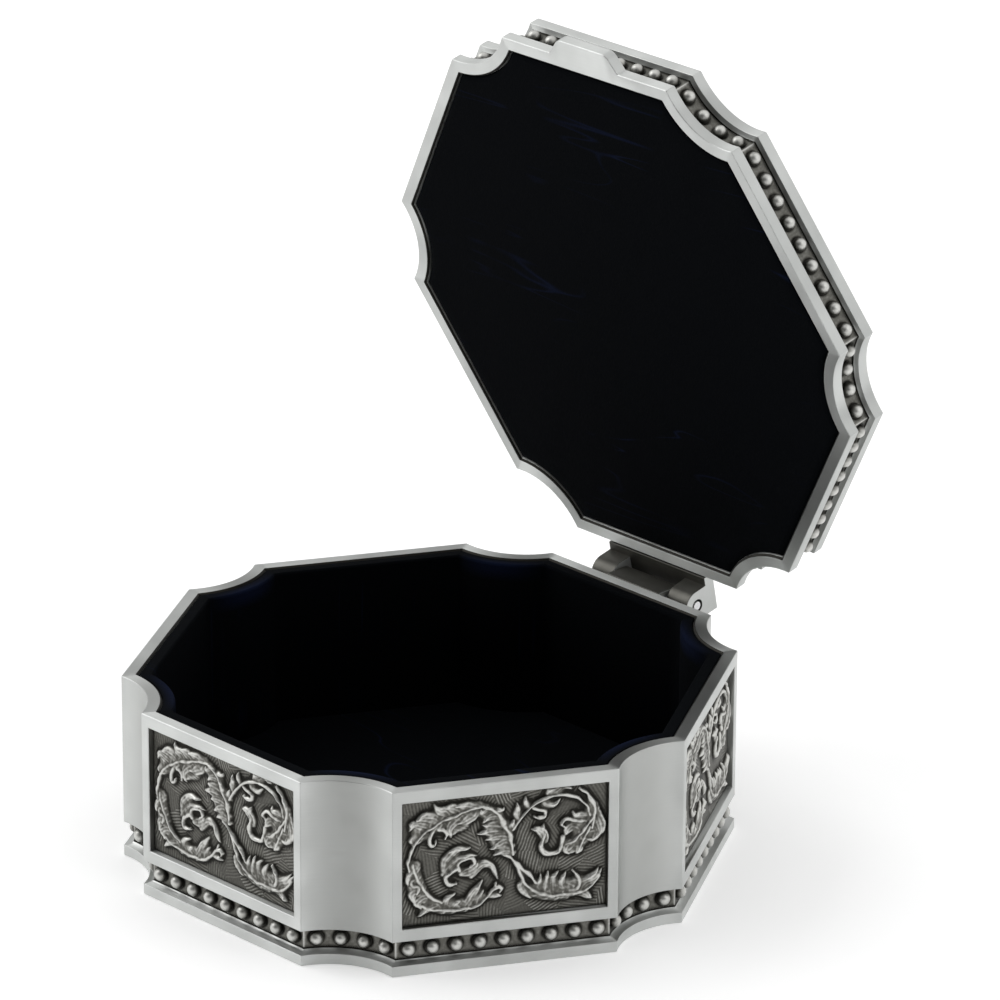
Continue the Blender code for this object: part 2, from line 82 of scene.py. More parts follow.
# Joint line between neighbouring pieces
GAP = 0.3 * MM


def linear(hex_colour):
    """An sRGB hex colour as linear red, green and blue."""
    channels = [int(hex_colour[start : start + 2], 16) / 255 for start in (1, 3, 5)]
    return tuple(c / 12.92 if c <= 0.04045 else ((c + 0.055) / 1.055) ** 2.4 for c in channels)


def length(name, description, default):
    return FloatProperty(name=name, description=description, default=default, min=0, precision=5, unit="LENGTH")


def colour(name, description, hex_colour):
    return FloatVectorProperty(
        name=name, description=description, default=linear(hex_colour), min=0, max=1, subtype="COLOR"
    )


class TRINKET_box_sizes(bpy.types.PropertyGroup):
    """Sizes of the box, its mouldings and its lid."""

    scallop_centre: length("Scallop centre", "Distance of a corner scallop's centre from the middle", 0.0578)
    scallop_radius: length("Scallop radius", "Radius of the scooped corners", 0.0123)
    scallop_steps: IntProperty(name="Scallop steps", description="Faces round one scallop", default=24, min=6)
    rim_width: length("Rim width", "Width of the flat rim round the wall and the lid", 0.0023)
    rim_chamfer: length("Rim chamfer", "Width of the dark inner edge of the rims", 0.00035)
    arris: length("Arris", "Width of the worn-round edges", 0.00016)
    band_inset: length("Band inset", "How far the pearl bands lie behind the wall's face", 0.0014)
    pearl_radius: length("Pearl radius", "Radius of one pearl", 0.00108)
    pearl_pitch: length("Pearl pitch", "Distance from pearl to pearl", 0.00372)
    pearl_corner_space: length("Corner space", "Plain band at each end of a row of pearls", 0.0013)
    window_width: length("Window width", "Width of the opening round a side plaque", 0.0322)
    window_height: length("Window height", "Height of the opening round a side plaque", 0.0209)
    window_rail: length("Window rail", "Height of the frame above a window", 0.00205)
    window_depth: length("Window depth", "Depth of the window pockets", 0.0018)
    border_width: length("Lid border", "Width of the moulded border round the lid's field", 0.0042)
    field_depth: length("Field depth", "Depth of the lid's field below its border", 0.0018)
    tab_reach: length("Tab reach", "How far the thumb tab stands out", 0.0028)


class TRINKET_relief_sizes(bpy.types.PropertyGroup):
    """Sizes of the leaf relief."""

    side_step: length("Side grid", "Mesh step of a side plaque", 0.00011)
    lid_step: length("Lid grid", "Mesh step of the lid plaque", 0.00027)
    relief_height: length("Relief height", "Height of the leaves above the ground", 0.00078)
    hatch_pitch: length("Hatch pitch", "Distance between the chased strokes of the ground", 0.0005)
    hatch_depth: length("Hatch depth", "Depth of the chased strokes", 0.00007)


class TRINKET_colours(bpy.types.PropertyGroup):
    """Colours of the finishes."""

    plating: colour("Plating", "Brushed pewter plating", "#D3D5D3")
    plating_dim: colour("Plating, dim", "Brushed pewter plating in its duller streaks", "#BFC1BF")
    # Painted shade: a duller colour laid into the middle of the scooped corners, standing in for their dimmer
    # reflections
    film: colour("Film", "Painted shade laid into the middle of the scooped corners", "#989996")
    oxide: colour("Oxide", "Dark antiquing left in the hollows", "#2B2A27")
    oxide_thin: colour("Thin oxide", "Antiquing wiped thin on the ground", "#6A6964")
    polished: colour("Polished tops", "Plating polished bare on the high points", "#D0D0CC")
    pin: colour("Pin", "Drawn steel wire of the hinge pin", "#D9D9DA")
    velvet: colour("Velvet", "Pile of the lining, seen straight on", "#05070A")
    velvet_sheen: colour("Velvet sheen", "Light caught by the tips of the pile", "#1B2647")
    felt: colour("Felt", "Pressed felt under the foot", "#1A1A1C")
    card: colour("Card", "Grey paperboard", "#737170")
    floor: colour("Floor", "Studio floor", "#F4F4F4")


def sizes():
    return bpy.context.scene.trinket_box_sizes


def relief_sizes():
    return bpy.context.scene.trinket_relief_sizes


def colours():
    return bpy.context.scene.trinket_colours


def side_normal(side):
    """Outward direction of a flat side, counted anticlockwise from the front."""
    angle = math.tau * side / SIDES - math.pi / 2
    return complex(math.cos(angle), math.sin(angle))


def half_side(inset):
    """Half the length of a flat side of the outline at an inset."""
    box = sizes()
    corner = box.scallop_centre * complex(math.cos(math.pi / SIDES), math.sin(math.pi / SIDES))
    out = corner.real - (WALL_APOTHEM - inset)
    return corner.imag - math.sqrt((box.scallop_radius + inset) ** 2 - out**2)


def side_point(side, along, inset):
    return side_normal(side) * complex(WALL_APOTHEM - inset, along)


def scallop_arc(side, inset):
    """Centre, first spoke and turn of the scallop that follows a side."""
    centre = side_normal(side + 0.5) * sizes().scallop_centre
    start = side_point(side, half_side(inset), inset) - centre
    end = side_point(side + 1, -half_side(inset), inset) - centre
    ratio = end / start
    return centre, start, math.atan2(ratio.imag, ratio.real)


def scallop_point(side, inset, share):
    centre, start, turn = scallop_arc(side, inset)
    return centre + start * complex(math.cos(turn * share), math.sin(turn * share))


def plan_loop(inset, stops=(), steps=None):
    """Plan outline at an inset, anticlockwise, with extra stops along each flat side."""
    steps = steps or sizes().scallop_steps
    points = []
    for side in range(SIDES):
        points += [side_point(side, along, inset) for along in (-half_side(inset), *stops)]
        points += [scallop_point(side, inset, step / steps) for step in range(steps)]
    return points


def walked(points):
    """Distance walked round a closed plan outline, at each point and back at the start."""
    steps = [abs(points[index] - points[index - 1]) for index in range(1, len(points))]
    steps.append(abs(points[0] - points[-1]))
    return np.concatenate([[0], np.cumsum(steps)])


def loft(loops, heights, ring=False, caps=False):
    """Vertices, faces and brushing coordinates of a moulding through plan loops at their heights."""
    count = len(loops[0])
    vertices = [(p.real, p.imag, z) for loop, z in zip(loops, heights) for p in loop]
    across = [0.0]
    for index in range(1, len(loops)):
        out = abs(loops[index][0] - loops[index - 1][0])
        across.append(across[-1] + math.hypot(out, heights[index] - heights[index - 1]))
    along = walked(loops[len(loops) // 2])
    pairs = [(index, index + 1, across[index], across[index + 1]) for index in range(len(loops) - 1)]
    if ring:
        close = abs(loops[0][0] - loops[-1][0]) + abs(heights[0] - heights[-1])
        pairs.append((len(loops) - 1, 0, across[-1], across[-1] + close))
    faces = []
    brushing = []
    for low, high, low_across, high_across in pairs:
        for index in range(count):
            after = (index + 1) % count
            faces.append((low * count + index, low * count + after, high * count + after, high * count + index))
            ends = along[index], along[index + 1]
            brushing += [
                (ends[0], low_across), (ends[1], low_across), (ends[1], high_across), (ends[0], high_across)
            ]
    if caps:
        bottom = list(reversed(range(count)))
        top = list(range((len(loops) - 1) * count, len(loops) * count))
        for cap in (bottom, top):
            faces.append(tuple(cap))
            brushing += [(vertices[index][0], vertices[index][1]) for index in cap]
    return vertices, faces, brushing


def rounded(profile, radius, steps=3):
    """A profile of (inset, height) corners with each inner corner rounded."""
    points = [profile[0]]
    for before, here, after in zip(profile, profile[1:], profile[2:]):
        here, before, after = Vector(here), Vector(before), Vector(after)
        into = (before - here).normalized() * min(radius, (before - here).length / 2)
        out = (after - here).normalized() * min(radius, (after - here).length / 2)
        for step in range(steps + 1):
            t = step / steps
            points.append(tuple(here + into * (1 - t) ** 2 + out * t**2))
    points.append(profile[-1])
    return points


def cove(inset, band_inset, band_height, edge_height, steps=8):
    """Points of a hollow moulding from the band out to its edge."""
    points = []
    for step in range(steps + 1):
        angle = math.pi / 2 * step / steps
        across = inset + (band_inset - inset) * math.cos(angle)
        points.append((across, band_height + (edge_height - band_height) * math.sin(angle)))
    return points


def new_piece(name, mesh, material, body, nodes):
    """Show a mesh as a piece that rides on a body and stands for CAD nodes."""
    piece = bpy.data.objects.new(name, mesh)
    bpy.context.scene.collection.objects.link(piece)
    if body == "lid":
        piece.matrix_world = LID_OPEN
    mesh.materials.append(material)
    mesh.shade_smooth()
    bpy.context.view_layer.update()
    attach(piece, body)
    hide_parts(*nodes)
    return piece


def mesh_of(name, vertices, faces, brushing=None, polish=None):
    """A mesh, with brushing coordinates a corner and how far each vertex is polished."""
    mesh = bpy.data.meshes.new(name)
    mesh.from_pydata([tuple(v) for v in vertices], [], [tuple(f) for f in faces])
    if brushing is not None:
        layer = mesh.uv_layers.new(name="brushing")
        layer.data.foreach_set("uv", np.asarray(brushing, dtype=np.float32).ravel())
    if polish is not None:
        attribute = mesh.attributes.new("polish", "FLOAT", "POINT")
        attribute.data.foreach_set("value", np.asarray(polish, dtype=np.float32))
    mesh.update()
    return mesh


def soften_edges(piece, width, segments=2):
    """Round the arrises a little, as tumbling and polishing leave them."""
    bevel = piece.modifiers.new("arris", "BEVEL")
    bevel.width = width
    bevel.segments = segments
    bevel.limit_method = "ANGLE"
    bevel.angle_limit = math.radians(32)
    bevel.harden_normals = True
    bevel.use_clamp_overlap = True
    return piece


# Materials


def node(tree, kind, settings=None, inputs=None):
    """Add a node with its settings, and set or link its inputs."""
    made = tree.nodes.new(kind)
    for name, value in (settings or {}).items():
        setattr(made, name, value)
    for name, value in (inputs or {}).items():
        if isinstance(value, bpy.types.NodeSocket):
            tree.links.new(value, made.inputs[name])
        else:
            made.inputs[name].default_value = value
    return made


def new_material(name):
    """An empty material and its shader."""
    material = bpy.data.materials.new(name)
    material.use_nodes = True
    return material, material.node_tree, material.node_tree.nodes["Principled BSDF"]


def ramp(tree, factor, stops, interpolation="LINEAR"):
    """A colour ramp through (position, colour) stops."""
    made = node(tree, "ShaderNodeValToRGB", inputs={"Fac": factor})
    made.color_ramp.interpolation = interpolation
    elements = made.color_ramp.elements
    while len(elements) < len(stops):
        elements.new(1)
    for element, (position, shade) in zip(elements, stops):
        element.position = position
        element.color = (*shade, 1)
    return made.outputs["Color"]


def grey(level):
    return (level, level, level)


def brushed_pewter():
    """Pewter plating on cast zinc, brushed along the mouldings: satin that smears reflections across the streaks, with
    painted shade laid into the middle of the scooped corners.
    """
    material, tree, shader = new_material("pewter_plating_brushed")
    place = node(tree, "ShaderNodeUVMap", {"uv_map": "brushing"}).outputs["UV"]
    # Streaks of an abrasive pad are about 0.05 mm apart, drawn 0.22 mm apart so that they show
    stretched = node(
        tree, "ShaderNodeMapping", inputs={"Vector": place, "Scale": (1 / 0.016, 1 / 0.00022, 1)}
    ).outputs["Vector"]
    streaks = node(
        tree, "ShaderNodeTexNoise", inputs={"Vector": stretched, "Scale": 1.0, "Detail": 3.0, "Roughness": 0.6}
    ).outputs["Fac"]
    solid = node(tree, "ShaderNodeTexCoord").outputs["Object"]
    # Wiping leaves soft clouds about 9 mm wide
    clouds = node(
        tree, "ShaderNodeTexNoise", inputs={"Vector": solid, "Scale": 1 / 0.009, "Detail": 2.0}
    ).outputs["Fac"]
    blend = node(
        tree, "ShaderNodeMath", {"operation": "MULTIPLY_ADD"}, {0: streaks, 1: 0.25, 2: clouds}
    ).outputs[0]
    clean = ramp(tree, blend, [(0.4, colours().plating_dim), (0.85, colours().plating)])
    # Painted shade: towards the middle of each scooped corner the colour turns, in soft clouds, to the duller shade
    # colour
    film = node(tree, "ShaderNodeAttribute", {"attribute_name": "film"}).outputs["Fac"]
    uneven = node(tree, "ShaderNodeMath", {"operation": "MULTIPLY"}, {0: film, 1: clouds}).outputs[0]
    shade = node(
        tree, "ShaderNodeMix", {"data_type": "RGBA"}, {"Factor": uneven, "A": clean, "B": (*colours().film, 1)}
    ).outputs["Result"]
    tree.links.new(shade, shader.inputs["Base Color"])
    rough = node(
        tree,
        "ShaderNodeMapRange",
        inputs={"Value": streaks, "From Min": 0.3, "From Max": 0.7, "To Min": 0.40, "To Max": 0.46},
    ).outputs["Result"]
    tree.links.new(rough, shader.inputs["Roughness"])
    bump = node(
        tree, "ShaderNodeBump", inputs={"Strength": 0.05, "Distance": 0.00002, "Height": streaks}
    ).outputs["Normal"]
    tree.links.new(bump, shader.inputs["Normal"])
    along = node(tree, "ShaderNodeTangent", {"direction_type": "UV_MAP", "uv_map": "brushing"}).outputs["Tangent"]
    tree.links.new(along, shader.inputs["Tangent"])
    shader.inputs["Anisotropic"].default_value = 0.85
    shader.inputs["Anisotropic Rotation"].default_value = 0.25
    shader.inputs["Metallic"].default_value = 1.0
    return material


def aged_pewter(name, grain):
    """Pewter plating dipped dark and polished back: black in the hollows, bare metal on the high points."""
    material, tree, shader = new_material(name)
    polish = node(tree, "ShaderNodeAttribute", {"attribute_name": "polish"}).outputs["Fac"]
    solid = node(tree, "ShaderNodeTexCoord").outputs["Object"]
    # The wheel polishes unevenly, in spots of about 0.4 mm
    spots = node(
        tree, "ShaderNodeTexNoise", inputs={"Vector": solid, "Scale": 1 / grain, "Detail": 3.0}
    ).outputs["Fac"]
    uneven = node(
        tree, "ShaderNodeMath", {"operation": "MULTIPLY_ADD"}, {0: spots, 1: 0.24, 2: -0.12}
    ).outputs[0]
    bare = node(tree, "ShaderNodeMath", {"operation": "ADD"}, {0: polish, 1: uneven}).outputs[0]
    tones = colours()
    shade = ramp(
        tree, bare, [(0.08, tones.oxide), (0.42, tones.oxide_thin), (0.9, tones.polished)]
    )
    tree.links.new(shade, shader.inputs["Base Color"])
    rough = node(
        tree,
        "ShaderNodeMapRange",
        inputs={"Value": bare, "From Min": 0.1, "From Max": 0.9, "To Min": 0.5, "To Max": 0.42},
    ).outputs["Result"]
    tree.links.new(rough, shader.inputs["Roughness"])
    shader.inputs["Metallic"].default_value = 1.0
    return material


def drawn_steel():
    """Drawn steel wire, cut and peened: brighter and smoother than the plating round it."""
    material, tree, shader = new_material("steel_wire_drawn")
    solid = node(tree, "ShaderNodeTexCoord").outputs["Object"]
    # Die lines run along the wire, about 0.1 mm apart
    lines = node(
        tree, "ShaderNodeMapping", inputs={"Vector": solid, "Scale": (1 / 0.008, 1 / 0.0001, 1 / 0.0001)}
    ).outputs["Vector"]
    noise = node(tree, "ShaderNodeTexNoise", inputs={"Vector": lines, "Scale": 1.0, "Detail": 2.0}).outputs["Fac"]
    shade = ramp(tree, noise, [(0.3, linear("#C4C4C6")), (0.7, colours().pin)])
    tree.links.new(shade, shader.inputs["Base Color"])
    rough = node(
        tree,
        "ShaderNodeMapRange",
        inputs={"Value": noise, "From Min": 0.3, "From Max": 0.7, "To Min": 0.16, "To Max": 0.28},
    ).outputs["Result"]
    tree.links.new(rough, shader.inputs["Roughness"])
    shader.inputs["Metallic"].default_value = 1.0
    return material


def velvet():
    """Short-pile velvet, woven and sheared: near black, with a blue edge of painted sheen in its base colour where the
    pile leans to the light.
    """
    material, tree, shader = new_material("velvet_sheared_navy")
    solid = node(tree, "ShaderNodeTexCoord").outputs["Object"]
    # Painted sheen: the base colour turns blue in patches about 20 mm wide, along long thin creases, where handled
    # pile leans to the light
    lean = node(
        tree, "ShaderNodeTexNoise", inputs={"Vector": solid, "Scale": 1 / 0.02, "Detail": 2.0, "Distortion": 0.6}
    ).outputs["Fac"]
    stretched = node(
        tree, "ShaderNodeMapping", inputs={"Vector": solid, "Rotation": (0, 0, 0.5), "Scale": (1 / 0.05, 1 / 0.008, 1)}
    ).outputs["Vector"]
    wisps = node(
        tree, "ShaderNodeTexNoise", inputs={"Vector": stretched, "Scale": 1.0, "Detail": 1.0, "Distortion": 0.8}
    ).outputs["Fac"]
    creases = ramp(tree, wisps, [(0.49, grey(0)), (0.5, grey(0.3)), (0.51, grey(0))])
    patches = ramp(tree, lean, [(0.52, grey(0)), (0.7, grey(1))])
    painted_pile_sheen = node(
        tree, "ShaderNodeMath", {"operation": "MULTIPLY", "use_clamp": True}, {0: creases, 1: patches}
    ).outputs[0]
    # Painted sheen: the base colour also turns blue along the lining's lip in the scooped corners
    edge = node(tree, "ShaderNodeAttribute", {"attribute_name": "film"}).outputs["Fac"]
    lit = node(tree, "ShaderNodeMath", {"operation": "MAXIMUM"}, {0: painted_pile_sheen, 1: edge}).outputs[0]
    shade = ramp(tree, lit, [(0.0, colours().velvet), (1.0, colours().velvet_sheen)])
    tree.links.new(shade, shader.inputs["Base Color"])
    # Pile tufts are about 0.2 mm apart
    tufts = node(
        tree, "ShaderNodeTexNoise", inputs={"Vector": solid, "Scale": 1 / 0.00035, "Detail": 1.0}
    ).outputs["Fac"]
    bump = node(
        tree, "ShaderNodeBump", inputs={"Strength": 0.5, "Distance": 0.0001, "Height": tufts}
    ).outputs["Normal"]
    tree.links.new(bump, shader.inputs["Normal"])
    shader.inputs["Roughness"].default_value = 0.95
    shader.inputs["Specular IOR Level"].default_value = 0.05
    shader.inputs["Sheen Weight"].default_value = 0.03
    shader.inputs["Sheen Roughness"].default_value = 0.3
    shader.inputs["Sheen Tint"].default_value = (*colours().velvet_sheen, 1)
    return material


def felt():
    """Pressed wool felt, die-cut: matte, with a tangle of fibres."""
    material, tree, shader = new_material("wool_felt_pressed")
    solid = node(tree, "ShaderNodeTexCoord").outputs["Object"]
    # Fibres are about 0.03 mm thick and clump at about 0.5 mm
    fibres = node(
        tree, "ShaderNodeTexNoise", inputs={"Vector": solid, "Scale": 1 / 0.0005, "Detail": 4.0, "Roughness": 0.7}
    ).outputs["Fac"]
    shade = ramp(tree, fibres, [(0.3, linear("#101012")), (0.7, colours().felt)])
    tree.links.new(shade, shader.inputs["Base Color"])
    bump = node(
        tree, "ShaderNodeBump", inputs={"Strength": 0.6, "Distance": 0.0002, "Height": fibres}
    ).outputs["Normal"]
    tree.links.new(bump, shader.inputs["Normal"])
    shader.inputs["Roughness"].default_value = 0.95
    shader.inputs["Specular IOR Level"].default_value = 0.1
    shader.inputs["Sheen Weight"].default_value = 0.15
    return material


def paperboard():
    """Grey paperboard, rolled: matte, with flecks of recycled fibre."""
    material, tree, shader = new_material("paperboard_grey_rolled")
    solid = node(tree, "ShaderNodeTexCoord").outputs["Object"]
    # Flecks are about 0.7 mm long
    flecks = node(
        tree, "ShaderNodeTexNoise", inputs={"Vector": solid, "Scale": 1 / 0.0007, "Detail": 3.0}
    ).outputs["Fac"]
    shade = ramp(tree, flecks, [(0.35, linear("#5F5D5B")), (0.62, colours().card)])
    tree.links.new(shade, shader.inputs["Base Color"])
    shader.inputs["Roughness"].default_value = 0.88
    return material


# Pieces


def window_edges():
    top = RIM_TOP - sizes().window_rail
    return top - sizes().window_height, top


def shared_material(make, *details):
    """A finish is made once and shared by the pieces that have it."""
    key = "_".join([make.__name__, *(str(detail) for detail in details)])
    if key not in MATERIALS:
        MATERIALS[key] = make(*details)
    return MATERIALS[key]


MATERIALS = {}


class TRINKET_OT_wall(bpy.types.Operator):
    """Wall with its rim, scooped corners and six window pockets"""

    bl_idname = "trinket.wall"
    bl_label = "Wall"

    def execute(self, context):
        box = sizes()
        low, high = window_edges()
        half = box.window_width / 2
        stops = (-half, half)
        profile = [
            (box.rim_width, WALL_BOTTOM),
            (0, WALL_BOTTOM),
            (0, low),
            (0, high),
            (0, RIM_TOP),
            (box.rim_width - box.rim_chamfer, RIM_TOP),
            (box.rim_width, RIM_TOP - box.rim_chamfer),
        ]
        loops = [plan_loop(inset, stops) for inset, _ in profile]
        vertices, faces, brushing = loft(loops, [height for _, height in profile], ring=True)
        mesh = mesh_of("base_wall_cast", vertices, faces, brushing)
        mark_painted_hollow_shade(mesh, len(stops) + 1, len(loops))
        bm = bmesh.new()
        bm.from_mesh(mesh)
        bm.faces.ensure_lookup_table()
        count = len(loops[0])
        panes = [bm.faces[2 * count + side * count // SIDES + 1] for side in range(SIDES)]
        windows = bmesh.ops.extrude_discrete_faces(bm, faces=panes)["faces"]
        for side, window in enumerate(windows):
            normal = side_normal(side)
            inwards = Vector((-normal.real, -normal.imag, 0)) * box.window_depth
            bmesh.ops.translate(bm, verts=window.verts, vec=inwards)
        bm.to_mesh(mesh)
        bm.free()
        piece = new_piece(
            "wall_with_windows", mesh, shared_material(brushed_pewter), "base", ["base_wall"]
        )
        darken(mesh, RIM_TOP - 0.75 * box.rim_chamfer, RIM_TOP - 0.25 * box.rim_chamfer)
        soften_edges(piece, box.arris)
        return {"FINISHED"}


class TRINKET_OT_plinth(bpy.types.Operator):
    """Foot plinth with its small cove, and the bottom plate's finish"""

    bl_idname = "trinket.plinth"
    bl_label = "Plinth"

    def execute(self, context):
        box = sizes()
        edge = PLINTH_TOP - 0.7 * MM
        profile = [(box.rim_width, 0), (0, 0), (0, edge)]
        profile = rounded(profile, 0.25 * MM)
        profile = profile[:-1] + list(reversed(cove(0, box.band_inset, PLINTH_TOP, edge)))
        profile += [(box.rim_width, PLINTH_TOP)]
        loops = [plan_loop(inset) for inset, _ in profile]
        mesh = mesh_of("base_plinth_cast", *loft(loops, [height for _, height in profile], ring=True))
        pewter = shared_material(brushed_pewter)
        piece = new_piece("foot_plinth", mesh, pewter, "base", ["base_plinth"])
        darken(mesh, PLINTH_TOP - 0.26 * MM, PLINTH_TOP)
        soften_edges(piece, 0.08 * MM)
        frame["nodes"]["base_floor"].data.materials.clear()
        frame["nodes"]["base_floor"].data.materials.append(shared_material(aged_pewter, "pewter_plating_dull", 0.004))
        return {"FINISHED"}


def mark_painted_hollow_shade(mesh, flats, rows):
    """Note how deep in a scooped corner each vertex of a loft lies: the mask of painted shade, darkest in the middle
    of each scallop.
    """
    steps = sizes().scallop_steps
    side = [0.0] * flats + [math.sin(math.pi * step / steps) for step in range(steps)]
    attribute = mesh.attributes.new("film", "FLOAT", "POINT")
    attribute.data.foreach_set("value", np.tile(side, SIDES * rows).astype(np.float32))


def darken(mesh, low, high):
    """Leave the antiquing on a moulding's faces between two heights."""
    mesh.materials.append(shared_material(aged_pewter, "pewter_plating_antiqued", 0.0004))
    for face in mesh.polygons:
        if low < face.center.z < high:
            face.material_index = 1


def pearl_places():
    """Plan place and outward direction of each pearl."""
    box = sizes()
    inset = box.band_inset - 0.25 * MM
    places = []
    for side in range(SIDES):
        straight = 2 * half_side(inset)
        for along in spread(straight):
            places.append((side_point(side, along - straight / 2, inset), side_normal(side)))
        centre, start, turn = scallop_arc(side, inset)
        curved = abs(turn) * abs(start)
        for along in spread(curved):
            place = scallop_point(side, inset, along / curved)
            places.append((place, (centre - place) / abs(centre - place)))
    return places


def spread(run):
    """Evenly pitched pearls, centred on a run of the band."""
    box = sizes()
    count = int((run - 2 * box.pearl_corner_space) / box.pearl_pitch) + 1
    first = (run - (count - 1) * box.pearl_pitch) / 2
    return [first + index * box.pearl_pitch for index in range(count)]


def pearl(radius, rings=12, spokes=22):
    """A unit pearl's vertices and faces, its pole along +Z and slightly flattened there."""
    vertices = [(0, 0, 0.97 * radius)]
    for ring in range(1, rings + 1):
        angle = math.pi * 0.72 * ring / rings
        for spoke in range(spokes):
            turn = math.tau * spoke / spokes
            out = radius * math.sin(angle)
            vertices.append((out * math.cos(turn), out * math.sin(turn), 0.97 * radius * math.cos(angle)))
    faces = [(0, 1 + spoke, 1 + (spoke + 1) % spokes) for spoke in range(spokes)]
    for ring in range(rings - 1):
        for spoke in range(spokes):
            here = 1 + ring * spokes
            after = (spoke + 1) % spokes
            faces.append((here + spoke, here + spokes + spoke, here + spokes + after, here + after))
    return np.array(vertices), faces


def pearl_band(name, bottom, top, pearl_height, body, nodes):
    """Recessed dark band with a hollow ring sunk round each polished pearl."""
    box = sizes()
    places = pearl_places()
    rows = 20
    levels = np.linspace(bottom, top, rows)
    runs = round(2 * half_side(box.band_inset) / (0.19 * MM))
    plan = plan_loop(box.band_inset, flat_stops(box.band_inset, runs), steps=80)
    points = np.array(plan)
    outward = band_normals(points)
    spots = np.array([place for place, _ in places])
    reach = np.abs(points[:, None] - spots[None, :]).min(axis=1)
    distance = np.hypot(reach[:, None], levels[None, :] - pearl_height)
    ring = np.exp(-(((distance - box.pearl_radius - 0.12 * MM) / (0.2 * MM)) ** 2))
    ends = np.clip((np.abs(levels - (bottom + top) / 2) - (top - bottom) / 2 + 0.5 * MM) / (0.5 * MM), 0, 1)
    spread_out = points[:, None] - outward[:, None] * 0.14 * MM * ring
    corners = np.array([
        side_point(side, way * half_side(box.band_inset), box.band_inset) for side in range(SIDES) for way in (-1, 1)
    ])
    # Near the band's corner arrises the polish rises: partly antiquing rubbed off the convex edges, partly a painted
    # highlight where a rounded arris would catch the light
    arris = np.exp(-((np.abs(points[:, None] - corners[None, :]).min(axis=1) / (0.16 * MM)) ** 2))
    count = len(plan)
    vertices = [
        (spread_out[i, j].real, spread_out[i, j].imag, levels[j]) for j in range(rows) for i in range(count)
    ]
    faces = [
        (j * count + i, j * count + (i + 1) % count, (j + 1) * count + (i + 1) % count, (j + 1) * count + i)
        for j in range(rows - 1)
        for i in range(count)
    ]
    polish = (0.43 - 0.42 * ring - 0.26 * ends[None, :] ** 2 + 0.45 * arris[:, None]).T.ravel().tolist()
    shape, pearl_faces = pearl(box.pearl_radius)
    for place, direction in places:
        out = np.array((direction.real, direction.imag, 0.0))
        along = np.array((-direction.imag, direction.real, 0.0))
        up = np.array((0.0, 0.0, 1.0))
        start = len(vertices)
        turned = shape[:, :1] * along + shape[:, 1:2] * up + shape[:, 2:] * out
        turned += np.array((place.real, place.imag, pearl_height))
        vertices += turned.tolist()
        faces += [tuple(start + index for index in face) for face in pearl_faces]
        polish += np.clip(0.30 + 0.65 * shape[:, 2] / box.pearl_radius, 0, 1).tolist()
    mesh = mesh_of(name, vertices, faces, polish=polish)
    pewter = shared_material(aged_pewter, "pewter_plating_antiqued", 0.0004)
    return new_piece(name, mesh, pewter, body, nodes)


def flat_stops(inset, count):
    """Stops that divide a flat side of the outline at an inset into equal runs."""
    return [(2 * index / count - 1) * half_side(inset) for index in range(1, count)]


def band_normals(points):
    """Outward direction at each point of a closed plan outline."""
    before = points - np.roll(points, 1)
    after = np.roll(points, -1) - points
    along = before / np.abs(before) + after / np.abs(after)
    return -1j * along / np.abs(along)


class TRINKET_OT_pearl_bands(bpy.types.Operator):
    """Pearl bands of the base and the lid"""

    bl_idname = "trinket.pearl_bands"
    bl_label = "Pearl bands"

    def execute(self, context):
        pearl_band(
            "base_pearl_band", PLINTH_TOP, WALL_BOTTOM, PLINTH_TOP + 1.5 * MM, "base", ["base_bead_band"]
        )
        bottom = RIM_TOP + GAP + 2.0 * MM
        pearl_band("lid_pearl_band", bottom, bottom + 3.8 * MM, bottom + 2.2 * MM, "lid", ["lid_bead_band"])
        return {"FINISHED"}


